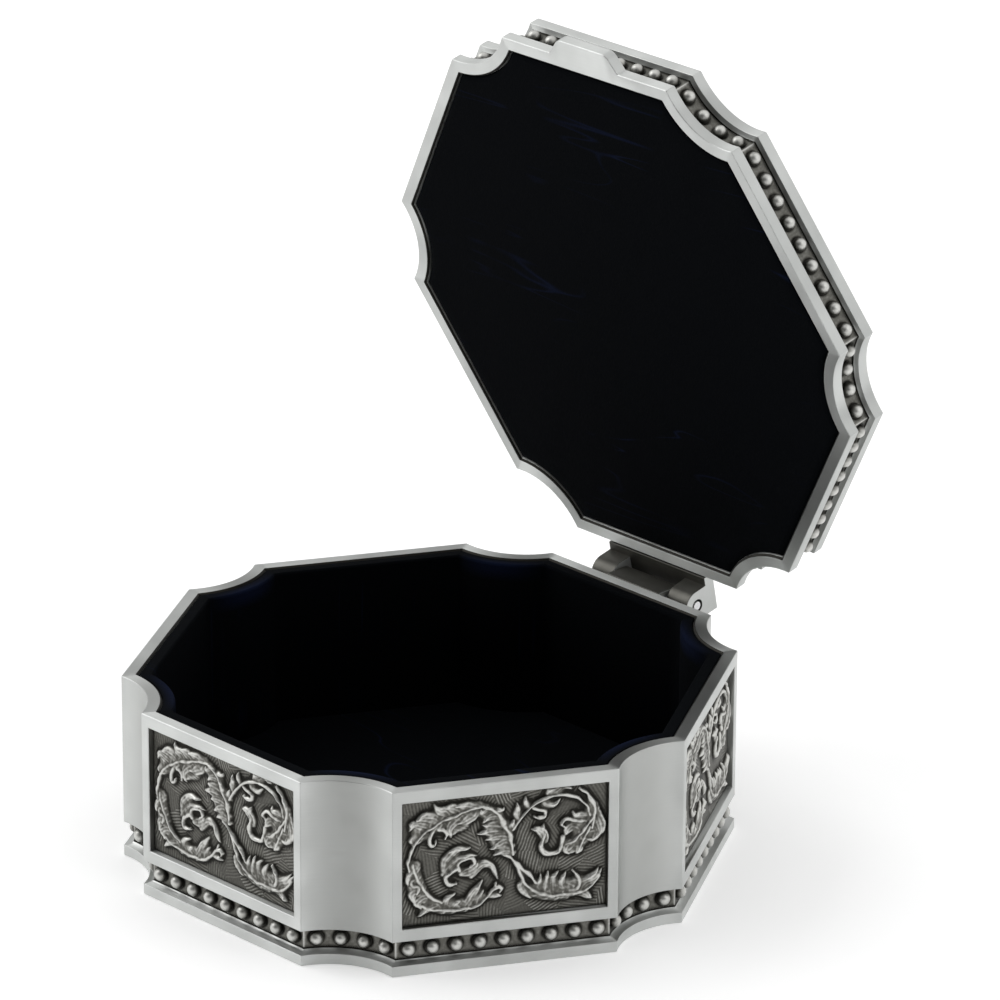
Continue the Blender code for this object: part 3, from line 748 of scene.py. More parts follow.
# Leaf relief of a side plaque. Each stroke has a kind, a half width in millimetres and points on a drawing
# whose unit is 0.045 mm, counted to the right and down.
DRAWING_UNIT = 0.045 * MM
DRAWING_MIDDLE = (597.5, 375)
SIDE_STROKES = (
    # Left scroll: leaf faces
    ("leaf", 1.7, ((505, 195), (440, 212), (385, 225), (330, 245), (290, 285))),
    ("leaf", 1.3, ((285, 385), (285, 430), (300, 480), (335, 525))),
    ("leaf", 1.2, ((340, 540), (400, 550), (460, 548), (520, 525))),
    ("leaf", 1.6, ((480, 210), (440, 240), (415, 265))),
    # Left scroll: stems
    ("stem", 0.34, ((522, 193), (480, 197), (430, 209), (380, 229), (335, 254), (302, 281), (282, 308))),
    ("stem", 0.30, ((300, 283), (276, 330), (264, 372), (262, 400))),
    ("stem", 0.34, ((278, 380), (292, 425), (312, 472), (345, 510), (378, 532))),
    ("stem", 0.34, ((305, 530), (345, 548), (400, 560), (450, 561), (500, 551), (540, 525), (562, 492), (566, 478))),
    # Left scroll: outer lobes of the top leaf
    ("lobe", 0.62, ((338, 252), (305, 236), (280, 232), (266, 256))),
    ("lobe", 0.66, ((372, 233), (345, 212), (315, 206), (288, 216))),
    ("lobe", 0.66, ((412, 214), (392, 195), (372, 188), (354, 163))),
    ("lobe", 0.56, ((450, 205), (430, 190), (405, 183), (382, 180))),
    ("lobe", 0.50, ((500, 196), (475, 184), (450, 180), (425, 184))),
    # Left scroll: inner curls of the top leaf
    ("curl", 0.30, ((366, 240), (348, 262), (336, 290), (340, 314), (352, 314), (356, 300))),
    ("curl", 0.34, ((378, 238), (366, 256), (384, 256), (398, 270), (392, 290))),
    ("lobe", 0.60, ((455, 210), (425, 232), (408, 258), (415, 292))),
    ("lobe", 0.62, ((500, 200), (482, 222), (455, 238), (428, 240))),
    # Left scroll: outer lobes of the lower leaf
    ("lobe", 0.46, ((284, 400), (270, 410), (262, 425), (264, 455))),
    ("curl", 0.30, ((290, 430), (276, 440), (280, 456), (296, 462), (290, 486))),
    ("lobe", 0.60, ((312, 475), (292, 480), (278, 492), (284, 520))),
    ("lobe", 0.60, ((340, 510), (315, 508), (296, 520), (310, 545))),
    ("lobe", 0.50, ((372, 535), (345, 540), (322, 552), (300, 575))),
    # Bottom leaf
    ("lobe", 0.46, ((385, 556), (392, 535), (402, 515), (428, 500))),
    ("lobe", 0.40, ((415, 558), (428, 538), (446, 528))),
    ("lobe", 0.60, ((455, 558), (476, 530), (494, 500), (522, 464))),
    ("lobe", 0.42, ((500, 548), (508, 520), (528, 498))),
    ("curl", 0.30, ((548, 515), (560, 498), (578, 490), (590, 500), (584, 512))),
    ("lobe", 0.40, ((545, 528), (565, 522), (592, 528))),
    # Inner volute
    ("lobe", 0.50, ((388, 408), (390, 378), (410, 354), (440, 340), (480, 340))),
    ("lobe", 0.44, ((386, 425), (405, 396), (435, 375), (468, 366), (500, 372))),
    ("curl", 0.30, ((445, 415), (440, 395), (458, 380), (484, 380), (494, 396), (480, 408))),
    ("lobe", 0.50, ((452, 428), (474, 425), (494, 412), (506, 392))),
    ("lobe", 0.50, ((484, 442), (500, 420), (524, 402), (548, 412), (562, 434), (574, 464))),
    ("curl", 0.36, ((436, 408), (410, 422), (398, 444), (408, 466), (432, 464))),
    # Centre leaf
    ("leaf", 1.6, ((530, 205), (565, 250), (575, 300), (600, 360))),
    ("stem", 0.40, ((516, 194), (548, 206), (576, 232), (600, 270), (618, 315), (628, 378))),
    ("lobe", 0.42, ((548, 206), (532, 204), (514, 214), (510, 196))),
    ("lobe", 0.52, ((575, 232), (556, 232), (536, 236), (520, 250))),
    ("lobe", 0.62, ((598, 268), (572, 262), (546, 262), (520, 256))),
    ("lobe", 0.70, ((608, 292), (575, 282), (540, 284), (503, 290))),
    ("lobe", 0.60, ((618, 318), (590, 305), (562, 306), (530, 318))),
    ("lobe", 0.60, ((624, 345), (600, 332), (578, 340), (552, 350))),
    ("lobe", 0.50, ((628, 372), (606, 360), (585, 362), (562, 374))),
    ("lobe", 0.36, ((560, 212), (585, 208), (592, 200))),
    ("stem", 0.40, ((596, 376), (624, 396), (652, 432), (682, 462), (706, 494))),
    # Bottom right leaf
    ("leaf", 1.5, ((690, 520), (750, 535), (820, 530), (890, 505))),
    ("stem", 0.36, ((640, 425), (655, 465), (682, 505), (722, 532), (768, 546), (816, 550), (862, 545), (904, 524),
                    (930, 492))),
    ("lobe", 0.38, ((712, 518), (718, 492), (724, 462))),
    ("lobe", 0.42, ((738, 530), (742, 495), (752, 454))),
    ("lobe", 0.46, ((772, 540), (764, 515), (770, 480), (786, 460))),
    ("lobe", 0.46, ((806, 542), (798, 515), (800, 488), (808, 464))),
    ("curl", 0.34, ((822, 540), (846, 534), (860, 512), (852, 486), (834, 466))),
    ("lobe", 0.56, ((860, 540), (880, 515), (910, 500), (936, 470))),
    ("lobe", 0.46, ((840, 500), (870, 505), (905, 488), (925, 465))),
    ("lobe", 0.46, ((662, 480), (656, 505), (672, 530), (694, 552))),
    ("lobe", 0.52, ((850, 548), (878, 552), (908, 572))),
    # Right scroll
    ("leaf", 1.5, ((905, 230), (905, 290), (870, 340), (830, 380))),
    ("stem", 0.30, ((626, 292), (655, 246), (686, 211), (726, 188), (770, 180), (818, 181), (856, 196), (882, 226),
                    (898, 262))),
    ("stem", 0.36, ((858, 158), (886, 186), (906, 226), (912, 268), (900, 312))),
    ("lobe", 0.60, ((912, 245), (930, 280), (934, 320), (914, 350))),
    ("lobe", 0.50, ((906, 300), (920, 330), (905, 355), (880, 350))),
    ("stem", 0.30, ((906, 270), (882, 304), (850, 340), (812, 366))),
    ("stem", 0.28, ((894, 305), (872, 350), (850, 396))),
    ("lobe", 0.44, ((892, 262), (868, 262), (846, 258), (834, 242))),
    ("curl", 0.34, ((880, 285), (845, 278), (812, 272), (796, 288), (812, 302))),
    ("lobe", 0.60, ((860, 315), (838, 300), (820, 310), (806, 330))),
    ("lobe", 0.60, ((850, 350), (830, 360), (812, 385), (825, 402))),
    ("lobe", 0.50, ((862, 365), (856, 385), (846, 404))),
    ("curl", 0.40, ((800, 335), (796, 362), (776, 388), (748, 392), (730, 372), (724, 344), (736, 318))),
    ("lobe", 0.66, ((736, 340), (732, 315), (715, 300), (692, 296))),
    ("lobe", 0.50, ((738, 320), (730, 300), (738, 280))),
    ("lobe", 0.40, ((726, 190), (745, 208), (768, 212), (794, 194))),
    ("curl", 0.30, ((694, 216), (716, 226), (738, 232), (736, 250), (712, 254), (698, 248))),
    ("lobe", 0.36, ((680, 216), (672, 198), (668, 170))),
    ("lobe", 0.46, ((650, 252), (640, 232), (642, 206), (640, 192))),
    ("lobe", 0.44, ((630, 286), (622, 268), (628, 250))),
    ("lobe", 0.46, ((770, 166), (800, 150), (834, 162))),
    ("lobe", 0.40, ((745, 168), (765, 152), (790, 148))),
)


def smooth_line(points, spacing):
    """Evenly stepped Catmull-Rom line through plan points."""
    ends = [2 * points[0] - points[1], *points, 2 * points[-1] - points[-2]]
    line = []
    for a, b, c, d in zip(ends, ends[1:], ends[2:], ends[3:]):
        count = max(2, int(abs(c - b) / spacing))
        for step in range(count):
            t = step / count
            line.append(
                0.5 * (2 * b + (c - a) * t + (2 * a - 5 * b + 4 * c - d) * t**2 + (3 * b - a - 3 * c + d) * t**3)
            )
    line.append(points[-1])
    return np.array(line)


def blurred(field, width):
    """A field smoothed over a width counted in grid steps."""
    reach = int(3 * width) + 1
    kernel = np.exp(-0.5 * (np.arange(-reach, reach + 1) / width) ** 2)
    kernel /= kernel.sum()
    for _ in range(2):
        padded = np.pad(field, ((reach, reach), (0, 0)), mode="edge")
        field = sum(share * padded[start : start + field.shape[0]] for start, share in enumerate(kernel)).T
    return field


def stroke_height(kind, share, distance, half_width):
    """Height of one stroke's section, as a share of the full relief, and where it covers the ground."""
    if kind == "stem":
        width = half_width * (0.6 + 0.4 * np.sin(np.pi * share)) * (1 + 0.25 * np.sin(share * 19))
        across = distance / width
        height = 0.78 * np.sqrt(np.clip(1 - across**2, 0, 1))
    elif kind == "leaf":
        width = 1.1 * half_width * (0.6 + 0.4 * np.sin(np.pi * share))
        across = distance / width
        veins = 0.5 + 0.5 * np.cos(share * 34 + across * 5)
        height = (0.36 + 0.2 * veins**3) * np.clip((1 - across) * 3, 0, 1) ** 0.6
    elif kind == "lobe":
        width = 1.45 * half_width * np.sin(np.pi * np.clip(0.22 + 0.76 * share, 0, 1)) ** 0.8 + 0.03 * MM
        across = distance / width
        face = 0.74 + 0.26 * np.clip(across, 0, 1) ** 2 + 0.2 * np.exp(-((distance / (0.13 * MM)) ** 2))
        rim = np.clip((1 - across) * width / (0.28 * MM), 0, 1) ** 0.8
        height = (0.55 + 0.4 * share) * face * rim
    else:
        width = 1.1 * half_width * np.clip((1 - share) * 5, 0.45, 1)
        across = distance / width
        height = (0.68 + 0.24 * share) * np.clip(1 - across**2, 0, 1) ** 0.4
    return np.where(across < 1, height, 0)


def relief_field(grid, strokes, sway):
    """Height of the leaf strokes over a grid of plan points, each moved by its sway, as a share of the full relief."""
    relief = np.zeros(grid.shape)
    across, up = grid[0].real, grid[:, 0].imag
    for kind, half_width, points in strokes:
        line = smooth_line(points, 0.06 * MM)
        reach = half_width * 1.6 + 0.3 * MM
        left, right = np.searchsorted(across, (line.real.min() - reach, line.real.max() + reach))
        low, high = np.searchsorted(up, (line.imag.min() - reach, line.imag.max() + reach))
        if left >= right or low >= high:
            continue
        near = np.abs((grid + sway)[low:high, left:right, None] - line)
        share = near.argmin(axis=-1) / (len(line) - 1)
        height = stroke_height(kind, share, near.min(axis=-1), half_width)
        relief[low:high, left:right] = np.maximum(relief[low:high, left:right], height)
    return relief


def hatching(grid, pitch, patch, seed):
    """Patches of parallel chased strokes, each patch in its own direction, from 0 to 1."""
    chance = np.random.default_rng(seed)
    wide = int((grid.real.max() - grid.real.min()) / patch) + 2
    tall = int((grid.imag.max() - grid.imag.min()) / patch) + 2
    corner = complex(grid.real.min(), grid.imag.min())
    spots = np.array([
        corner + patch * complex(i + chance.uniform(-0.4, 0.6), j + chance.uniform(-0.4, 0.6))
        for i in range(wide)
        for j in range(tall)
    ])
    turns = chance.uniform(0, math.pi, len(spots))
    strength = chance.uniform(0.1, 1.0, len(spots))
    nearest = np.full(grid.shape, np.inf)
    owner = np.zeros(grid.shape, dtype=int)
    for index, spot in enumerate(spots):
        distance = np.abs(grid - spot)
        closer = distance < nearest
        nearest[closer] = distance[closer]
        owner[closer] = index
    turned = (grid - spots[owner]) * np.exp(-1j * turns[owner])
    wobble = 0.04 * MM * np.sin(grid.real / (0.5 * MM) + grid.imag / (0.6 * MM))
    waves = 0.5 - 0.5 * np.cos(math.tau * (turned.imag + wobble) / pitch)
    return strength[owner] * waves


def drift(shape, width, seed):
    """Smooth chance from about -1 to 1, varying over a width counted in grid steps."""
    chance = np.random.default_rng(seed)
    field = blurred(chance.standard_normal(shape), width)
    return np.clip(field / field.std() / 2, -1, 1)


def carve(grid, strokes, patch, seed):
    """Height and polish of a relief over a grid: leaves, hatched ground, and a shallow groove beside the leaves that
    is also darkened as painted shadow.
    """
    detail = relief_sizes()
    step = abs(grid[0, 1] - grid[0, 0])
    loose = 0.55 * MM / step
    sway = drift(grid.shape, loose, seed) + 1j * drift(grid.shape, loose, seed + 1)
    relief = relief_field(grid, strokes, 0.2 * MM * sway)
    body = blurred(np.clip(relief * 3, 0, 1), 0.5 * MM / step)
    relief = np.maximum(relief, 0.48 * np.clip((body - 0.36) / 0.45, 0, 1))
    fine = max(0.2 * MM / step, 1.4)
    crags = 0.14 * drift(grid.shape, fine, seed + 2) + 0.16 * drift(grid.shape, 2.5 * fine, seed + 3)
    relief = blurred(relief * (1 + crags), max(0.08 * MM / step, 0.5))
    cover = np.clip(relief / 0.12, 0, 1)
    moat_and_painted_shadow = blurred(np.clip(relief * 3, 0, 1), 0.45 * MM / step) * (1 - cover)
    hatch = hatching(grid, detail.hatch_pitch, patch, seed) * (1 - cover) * (1 - 0.7 * np.clip(moat_and_painted_shadow * 1.5, 0, 1))
    height = detail.relief_height * relief + detail.hatch_depth * hatch - 0.05 * MM * moat_and_painted_shadow
    hollow = (blurred(height, 0.55 * MM / step) - height) / detail.relief_height
    crease = (blurred(height, 0.16 * MM / step) - height) / detail.relief_height
    shade = 0.5 + 0.5 * drift(grid.shape, 0.9 * MM / step, seed + 4)
    # Painted shadow: beside the leaves the polish drops, patchily, where their undercuts would cast shade; the darker
    # hollows and creases are antiquing
    polish = 0.29 + 0.16 * hatch - hollow * 1.1 - crease * 2.6 + 0.36 * relief - 0.4 * moat_and_painted_shadow * shade
    return height, np.clip(polish, 0, 1)


def grid_faces(rows, columns):
    """Quads of a grid of vertices, row after row."""
    corner = np.arange(rows * columns).reshape(rows, columns)
    quads = np.stack([corner[:-1, :-1], corner[:-1, 1:], corner[1:, 1:], corner[1:, :-1]], axis=-1)
    return quads.reshape(-1, 4)


def side_plaque_mesh():
    """One side plaque as a relief that faces -Y, its ground plane at y = 0 and its middle at the origin."""
    box = sizes()
    width = box.window_width - 0.1 * MM
    height = box.window_height - 0.1 * MM
    step = relief_sizes().side_step
    across = np.linspace(-width / 2, width / 2, round(width / step) + 1)
    up = np.linspace(-height / 2, height / 2, round(height / step) + 1)
    grid = across[None, :] + 1j * up[:, None]
    strokes = [
        (kind, half * MM, [complex(x - DRAWING_MIDDLE[0], DRAWING_MIDDLE[1] - y) * DRAWING_UNIT for x, y in points])
        for kind, half, points in SIDE_STROKES
    ]
    lift, polish = carve(grid, strokes, 4.4 * MM, seed=3)
    edge = np.minimum(width / 2 - np.abs(grid.real), height / 2 - np.abs(grid.imag))
    lift = lift * np.clip(edge / (0.25 * MM), 0, 1)
    # Painted shadow: the polish falls off within about 0.45 mm of the plaque's edge, where the window's jambs would
    # shade it
    polish = polish * np.clip(0.35 + edge / (0.7 * MM), 0, 1)
    vertices = np.stack([grid.real.ravel(), -lift.ravel(), grid.imag.ravel()], axis=-1)
    return mesh_of("side_plaque_relief", vertices, grid_faces(*grid.shape), polish=polish.ravel())


class TRINKET_OT_side_plaques(bpy.types.Operator):
    """Six leaf relief plaques, one in each window"""

    bl_idname = "trinket.side_plaques"
    bl_label = "Side plaques"

    def execute(self, context):
        mesh = side_plaque_mesh()
        pewter = shared_material(aged_pewter, "pewter_plating_antiqued", 0.0004)
        low, high = window_edges()
        names = ("front", "front_right", "back_right", "back", "back_left", "front_left")
        for side, name in enumerate(names):
            node_name = f"plaque_{name}"
            ground = -WALL_APOTHEM + 1.0 * MM
            seat = Matrix.Translation((0, ground, (low + high) / 2))
            piece = bpy.data.objects.new(f"relief_{name}", mesh)
            bpy.context.scene.collection.objects.link(piece)
            piece.matrix_world = Matrix.Rotation(math.tau * side / SIDES, 4, "Z") @ seat
            if not mesh.materials:
                mesh.materials.append(pewter)
                mesh.shade_smooth()
            bpy.context.view_layer.update()
            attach(piece, "base")
            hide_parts(node_name)
        return {"FINISHED"}


class TRINKET_OT_linings(bpy.types.Operator):
    """Velvet round the wall, the floor pad, and the cards and felt behind them"""

    bl_idname = "trinket.linings"
    bl_label = "Linings"

    def execute(self, context):
        box = sizes()
        nap = shared_material(velvet)
        card = box.rim_width + GAP
        back = card + 0.6 * MM + GAP
        face = back + 0.8 * MM
        bottom = FLOOR_TOP + GAP
        top = RIM_TOP - 0.2 * MM
        lip = box.rim_width + 0.06 * MM
        profile = [(back, bottom + 0.05 * MM), (back, top - 0.55 * MM), (lip, top - 0.55 * MM), (lip, top)]
        profile += [(face - 0.25 * MM, top + 0.05 * MM), (face, top - 0.25 * MM), (face, top - 1.0 * MM)]
        profile += [(face, top - 3.0 * MM), (face, bottom + 0.05 * MM)]
        profile = rounded(profile, 0.12 * MM)
        loops = [plan_loop(inset, flat_stops(inset, 12), steps=16) for inset, _ in profile]
        mesh = mesh_of("wall_velvet_cloth", *loft(loops, [height for _, height in profile], ring=True))
        # Painted sheen: within 3 mm of the top of the lining's face, in the middle of each scooped corner, the base
        # colour turns towards the blue sheen colour
        corner = np.tile([0.0] * 12 + [math.sin(math.pi * step / 16) for step in range(16)], SIDES)
        pile = np.clip([(inset - card) * (height - top + 3.0 * MM) / (3 * MM * MM) for inset, height in profile], 0, 1)
        attribute = mesh.attributes.new("film", "FLOAT", "POINT")
        attribute.data.foreach_set("value", (0.3 * pile[:, None] * corner).ravel().astype(np.float32))
        cloth = new_piece("lining_velvet", mesh, nap, "base", ["lining_wall_velvet"])
        low, high = (corner[2] for corner in (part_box("lining_floor_pad")[0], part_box("lining_floor_pad")[1]))
        pad = padded_mesh("floor_pad_cover", face + 0.15 * MM, low, high, 0.25 * MM, seed=5)
        floor_pad = new_piece("floor_pad", pad, nap, "base", ["lining_floor_pad"])
        board = shared_material(paperboard)
        for name in ("lining_wall_card", "lining_floor_card"):
            frame["nodes"][name].data.materials.clear()
            frame["nodes"][name].data.materials.append(board)
        inside = box.rim_width + GAP
        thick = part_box("base_felt")[1][2]
        outline = plan_loop(inset=inside)
        felt_profile = rounded([(inside + 0.1 * MM, 0), (inside, 0.1 * MM), (inside, thick), (inside + 0.1 * MM, thick)],
                               0.05 * MM, steps=1)
        loops = [plan_loop(inset) for inset, _ in felt_profile]
        heights = [height for _, height in felt_profile]
        mesh = mesh_of("foot_felt_cut", *loft(loops, heights, caps=True))
        foot = new_piece("foot_felt", mesh, shared_material(felt), "base", ["base_felt"])
        area = abs(sum((a.conjugate() * b).imag for a, b in zip(outline, outline[1:] + outline[:1]))) / 2
        return {"FINISHED"}


def padded_mesh(name, inset, low, high, crown, seed, face_up=True):
    """Thin foam pad under velvet: rolled edges, a slight crown and shallow puckers near the rim."""
    steps = [(0.0, 0.0), (0.0, 0.6), (0.0, 0.84), (0.1, 0.92), (0.4, 0.98), (1.2, 1.0)]
    insets = [inset + out * MM for out, _ in steps]
    heights = [low + (high - low) * up for _, up in steps]
    for reach in np.linspace(3.0, 32.0, 30):
        insets.append(inset + reach * MM)
        heights.append(high)
    loops = []
    for here in insets:
        loops.append(plan_loop(here, flat_stops(here, 14), steps=10))
    vertices, faces, brushing = loft(loops, heights, caps=True)
    points = np.array(vertices)
    plan = points[:, 0] + 1j * points[:, 1]
    chance = np.random.default_rng(seed)
    angle = np.angle(plan)
    radius = np.abs(plan)
    pucker = np.zeros(len(points))
    for _ in range(9):
        waves = chance.integers(5, 23)
        pucker += chance.uniform(0.3, 1) * np.sin(waves * angle + chance.uniform(0, math.tau) + radius / (6 * MM))
    ring = np.repeat(np.arange(len(loops)), len(loops[0]))
    depth = np.interp(ring, [0, 2, 6, 14, len(loops)], [0, 0.2, 1, 0.35, 0.1])
    soft = np.clip((points[:, 2] - low) / (high - low), 0, 1)
    points[:, 2] += soft * (0.035 * MM * pucker * depth + crown * (1 - (radius / (0.045)) ** 2) * 0.5)
    if not face_up:
        points[:, 2] = low + high - points[:, 2]
        faces = [tuple(reversed(face)) for face in faces]
        brushing = None
    return mesh_of(name, points, faces, brushing)


def tab_outline():
    """Plan points of the thumb tab's edge, from left to right along the front side."""
    reach = sizes().tab_reach
    half, tip, round_radius = 7.3 * MM, 5.2 * MM, 0.9 * MM
    corners = [complex(-half, 0), complex(-tip, reach), complex(tip, reach), complex(half, 0)]
    points = [corners[0]]
    for before, here, after in zip(corners, corners[1:], corners[2:]):
        into = (before - here) / abs(before - here) * round_radius
        out = (after - here) / abs(after - here) * round_radius
        for step in range(7):
            t = step / 6
            points.append(here + into * (1 - t) ** 2 + out * t**2)
    points.append(corners[-1])
    return points


class TRINKET_OT_lid_rim(bpy.types.Operator):
    """Flat rim of the lid with its thumb tab"""

    bl_idname = "trinket.lid_rim"
    bl_label = "Lid rim"

    def execute(self, context):
        box = sizes()
        bottom = RIM_TOP + GAP
        top = bottom + 2.0 * MM
        tab = tab_outline()
        along = [point.real for point in tab]
        profile = [
            (box.rim_width, bottom + box.rim_chamfer), (box.rim_width - box.rim_chamfer, bottom),
            (0, bottom), (0, top), (box.rim_width, top),
        ]
        loops = []
        for inset, _ in profile:
            loop = plan_loop(inset, along)
            if inset == 0:
                for index, point in enumerate(tab):
                    loop[1 + index] = complex(point.real, -WALL_APOTHEM - point.imag)
            loops.append(loop)
        mesh = mesh_of("lid_rim_cast", *loft(loops, [height for _, height in profile], ring=True))
        piece = new_piece(
            "lid_rim_with_tab", mesh, shared_material(brushed_pewter), "lid", ["lid_rim"]
        )
        darken(mesh, bottom + 0.25 * box.rim_chamfer, bottom + 0.75 * box.rim_chamfer)
        soften_edges(piece, box.arris)
        return {"FINISHED"}


class TRINKET_OT_lid_top(bpy.types.Operator):
    """Moulded top plate of the lid"""

    bl_idname = "trinket.lid_top"
    bl_label = "Lid top"

    def execute(self, context):
        box = sizes()
        band_top = RIM_TOP + GAP + 5.8 * MM
        edge = band_top + 0.35 * MM
        top = band_top + 2.5 * MM
        overhang = 0.3 * MM
        field = overhang + box.border_width
        profile = cove(overhang, box.band_inset, band_top, edge)
        profile += rounded(
            [(overhang, edge), (overhang, top), (field, top), (field, top - box.field_depth)], 0.6 * MM, steps=5
        )[1:]
        loops = [plan_loop(inset) for inset, _ in profile]
        heights = [height for _, height in profile]
        mesh = mesh_of("lid_top_cast", *loft(loops, heights, caps=True))
        piece = new_piece(
            "lid_top_plate", mesh, shared_material(brushed_pewter), "lid", ["lid_top"]
        )
        darken(mesh, band_top, band_top + 0.2 * MM)
        soften_edges(piece, 0.1 * MM)
        return {"FINISHED"}


def clipped_grid(inset, step):
    """Grid over the plan outline at an inset: its points, the edge points moved onto the outline, and its quads."""
    box = sizes()
    radius = WALL_APOTHEM - inset
    reach = radius / math.cos(math.pi / SIDES)
    count = round(2 * reach / step) + 1
    line = np.linspace(-reach, reach, count)
    grid = line[None, :] + 1j * line[:, None]
    moved = grid.copy()
    inside = np.ones(grid.shape, dtype=bool)
    for _ in range(4):
        for side in range(SIDES):
            normal = side_normal(side)
            over = (moved * np.conj(normal)).real - radius
            inside &= over < 1e-9
            moved = moved - normal * np.clip(over, 0, None)
            centre = side_normal(side + 0.5) * box.scallop_centre
            spoke = moved - centre
            short = box.scallop_radius + inset - np.abs(spoke)
            inside &= short < 1e-9
            moved = moved + spoke / np.abs(spoke) * np.clip(short, 0, None)
    quads = grid_faces(count, count)
    kept = quads[inside.ravel()[quads].any(axis=1)]
    return grid, moved, kept


LID_STROKES = (
    # One of six like sprays, towards the front: points are millimetres right and forward of the middle
    ("stem", 0.95, ((0.2, 7.5), (-2.4, 13.0), (-6.4, 18.5), (-9.8, 24.5), (-9.4, 30.5), (-4.6, 33.4), (-0.6, 30.6),
                    (-2.0, 26.8), (-5.0, 27.0))),
    ("stem", 0.85, ((-1.4, 11.2), (2.6, 15.6), (6.6, 21.2), (9.6, 27.5), (8.8, 33.0), (4.8, 35.4), (2.4, 32.8))),
    ("leaf", 1.5, ((-3.4, 15.4), (-7.0, 20.6), (-8.8, 26.0))),
    ("leaf", 1.3, ((3.2, 17.4), (6.8, 23.2), (8.2, 28.4))),
    ("lobe", 1.0, ((-4.4, 15.8), (-7.6, 17.0), (-9.4, 21.2))),
    ("lobe", 1.05, ((-7.4, 19.8), (-11.0, 22.0), (-12.4, 26.6))),
    ("lobe", 1.05, ((-9.8, 24.8), (-13.2, 28.0), (-13.2, 32.8))),
    ("lobe", 1.0, ((-9.6, 30.2), (-11.8, 33.8), (-10.2, 37.8))),
    ("lobe", 0.95, ((-5.8, 33.2), (-5.6, 36.6), (-2.8, 39.2))),
    ("lobe", 0.9, ((-3.4, 14.6), (-1.0, 17.2), (-1.8, 21.2))),
    ("lobe", 0.95, ((-6.4, 18.4), (-3.4, 21.0), (-3.8, 25.2))),
    ("lobe", 0.8, ((-1.0, 30.2), (1.2, 28.4), (1.0, 25.4))),
    ("lobe", 0.95, ((3.6, 16.8), (7.2, 17.8), (9.0, 21.2))),
    ("lobe", 1.0, ((6.4, 20.8), (10.2, 22.6), (11.6, 27.0))),
    ("lobe", 1.0, ((9.2, 26.2), (12.8, 29.0), (13.6, 33.8))),
    ("lobe", 0.95, ((9.2, 32.2), (11.2, 35.4), (9.4, 38.8))),
    ("lobe", 0.85, ((4.8, 35.2), (4.6, 37.6), (2.2, 39.6))),
    ("lobe", 0.85, ((4.6, 18.6), (2.6, 21.6), (3.4, 25.4))),
    ("lobe", 0.85, ((8.4, 24.8), (5.2, 26.8), (4.8, 31.0))),
    # Single leaf between two sprays
    ("lobe", 1.2, ((4.9, 8.7), (7.0, 12.2), (9.6, 16.4))),
    # Petal of the middle rosette
    ("lobe", 1.5, ((0.4, 1.2), (0.2, 4.0), (-0.4, 7.6))),
    ("lobe", 1.0, ((1.6, 2.4), (2.8, 4.6), (3.6, 7.6))),
)


class TRINKET_OT_lid_plaque(bpy.types.Operator):
    """Leaf relief plaque in the outside of the lid"""

    bl_idname = "trinket.lid_plaque"
    bl_label = "Lid plaque"

    def execute(self, context):
        inset = 4.6 * MM
        ground = RIM_TOP + GAP + 5.8 * MM + 2.5 * MM - sizes().field_depth + GAP + 0.5 * MM
        grid, moved, quads = clipped_grid(inset, relief_sizes().lid_step)
        strokes = []
        for side in range(SIDES):
            for kind, half, points in LID_STROKES:
                turned = [side_normal(side) * complex(forward, across) * MM for across, forward in points]
                strokes.append((kind, half * MM, turned))
        strokes.append(("curl", 1.6 * MM, [complex(-0.3, 0) * MM, complex(0.3, 0) * MM]))
        lift, polish = carve(grid, strokes, 5.2 * MM, seed=8)
        used, first = np.unique(quads, return_inverse=True)
        flat = moved.ravel()[used]
        edge = np.abs(flat - grid.ravel()[used]) > 1e-9
        heights = ground + np.where(edge, 0, lift.ravel()[used])
        vertices = np.stack([flat.real, flat.imag, heights], axis=-1)
        shine = np.where(edge, 0.1, polish.ravel()[used])
        mesh = mesh_of("lid_plaque_relief", vertices, first.reshape(quads.shape), polish=shine)
        pewter = shared_material(aged_pewter, "pewter_plating_antiqued", 0.0004)
        new_piece("lid_relief", mesh, pewter, "lid", ["lid_plaque"])
        return {"FINISHED"}


class TRINKET_OT_lid_pad(bpy.types.Operator):
    """Velvet pad inside the lid, and the card behind it"""

    bl_idname = "trinket.lid_pad"
    bl_label = "Lid pad"

    def execute(self, context):
        low = RIM_TOP + GAP + 0.25 * MM
        mesh = padded_mesh(
            "lid_pad_cover", sizes().rim_width + 0.06 * MM, low, low + 3.9 * MM, 0.2 * MM, seed=11, face_up=False
        )
        pad = new_piece("lid_pad_velvet", mesh, shared_material(velvet), "lid", ["lid_pad"])
        card = frame["nodes"]["lid_pad_card"]
        card.data.materials.clear()
        card.data.materials.append(shared_material(paperboard))
        return {"FINISHED"}


def bar_mesh(name, outline, left, right, hole=None):
    """A bar along X with a YZ outline, bored through at the hinge axis where a hole radius is given."""
    bm = bmesh.new()
    loops = [[Vector((left, y, z)) for y, z in outline]]
    if hole:
        turns = [math.tau * step / 32 for step in range(32)]
        loops.append([
            Vector((left, HINGE_AXIS.y + hole * math.cos(turn), HINGE_AXIS.z + hole * math.sin(turn)))
            for turn in turns
        ])
    edges = []
    for loop in loops:
        corners = [bm.verts.new(place) for place in loop]
        edges += [bm.edges.new((corners[index - 1], corners[index])) for index in range(len(corners))]
    if hole:
        bmesh.ops.triangle_fill(bm, edges=edges, use_beauty=True)
    else:
        bm.faces.new(corners)
    grown = bmesh.ops.extrude_face_region(bm, geom=list(bm.faces))
    moved = [part for part in grown["geom"] if isinstance(part, bmesh.types.BMVert)]
    bmesh.ops.translate(bm, verts=moved, vec=(right - left, 0, 0))
    bmesh.ops.recalc_face_normals(bm, faces=bm.faces)
    layer = bm.loops.layers.uv.new("brushing")
    for face in bm.faces:
        for corner in face.loops:
            place = corner.vert.co
            corner[layer].uv = (place.x, place.y + place.z)
    mesh = bpy.data.meshes.new(name)
    bm.to_mesh(mesh)
    bm.free()
    return mesh


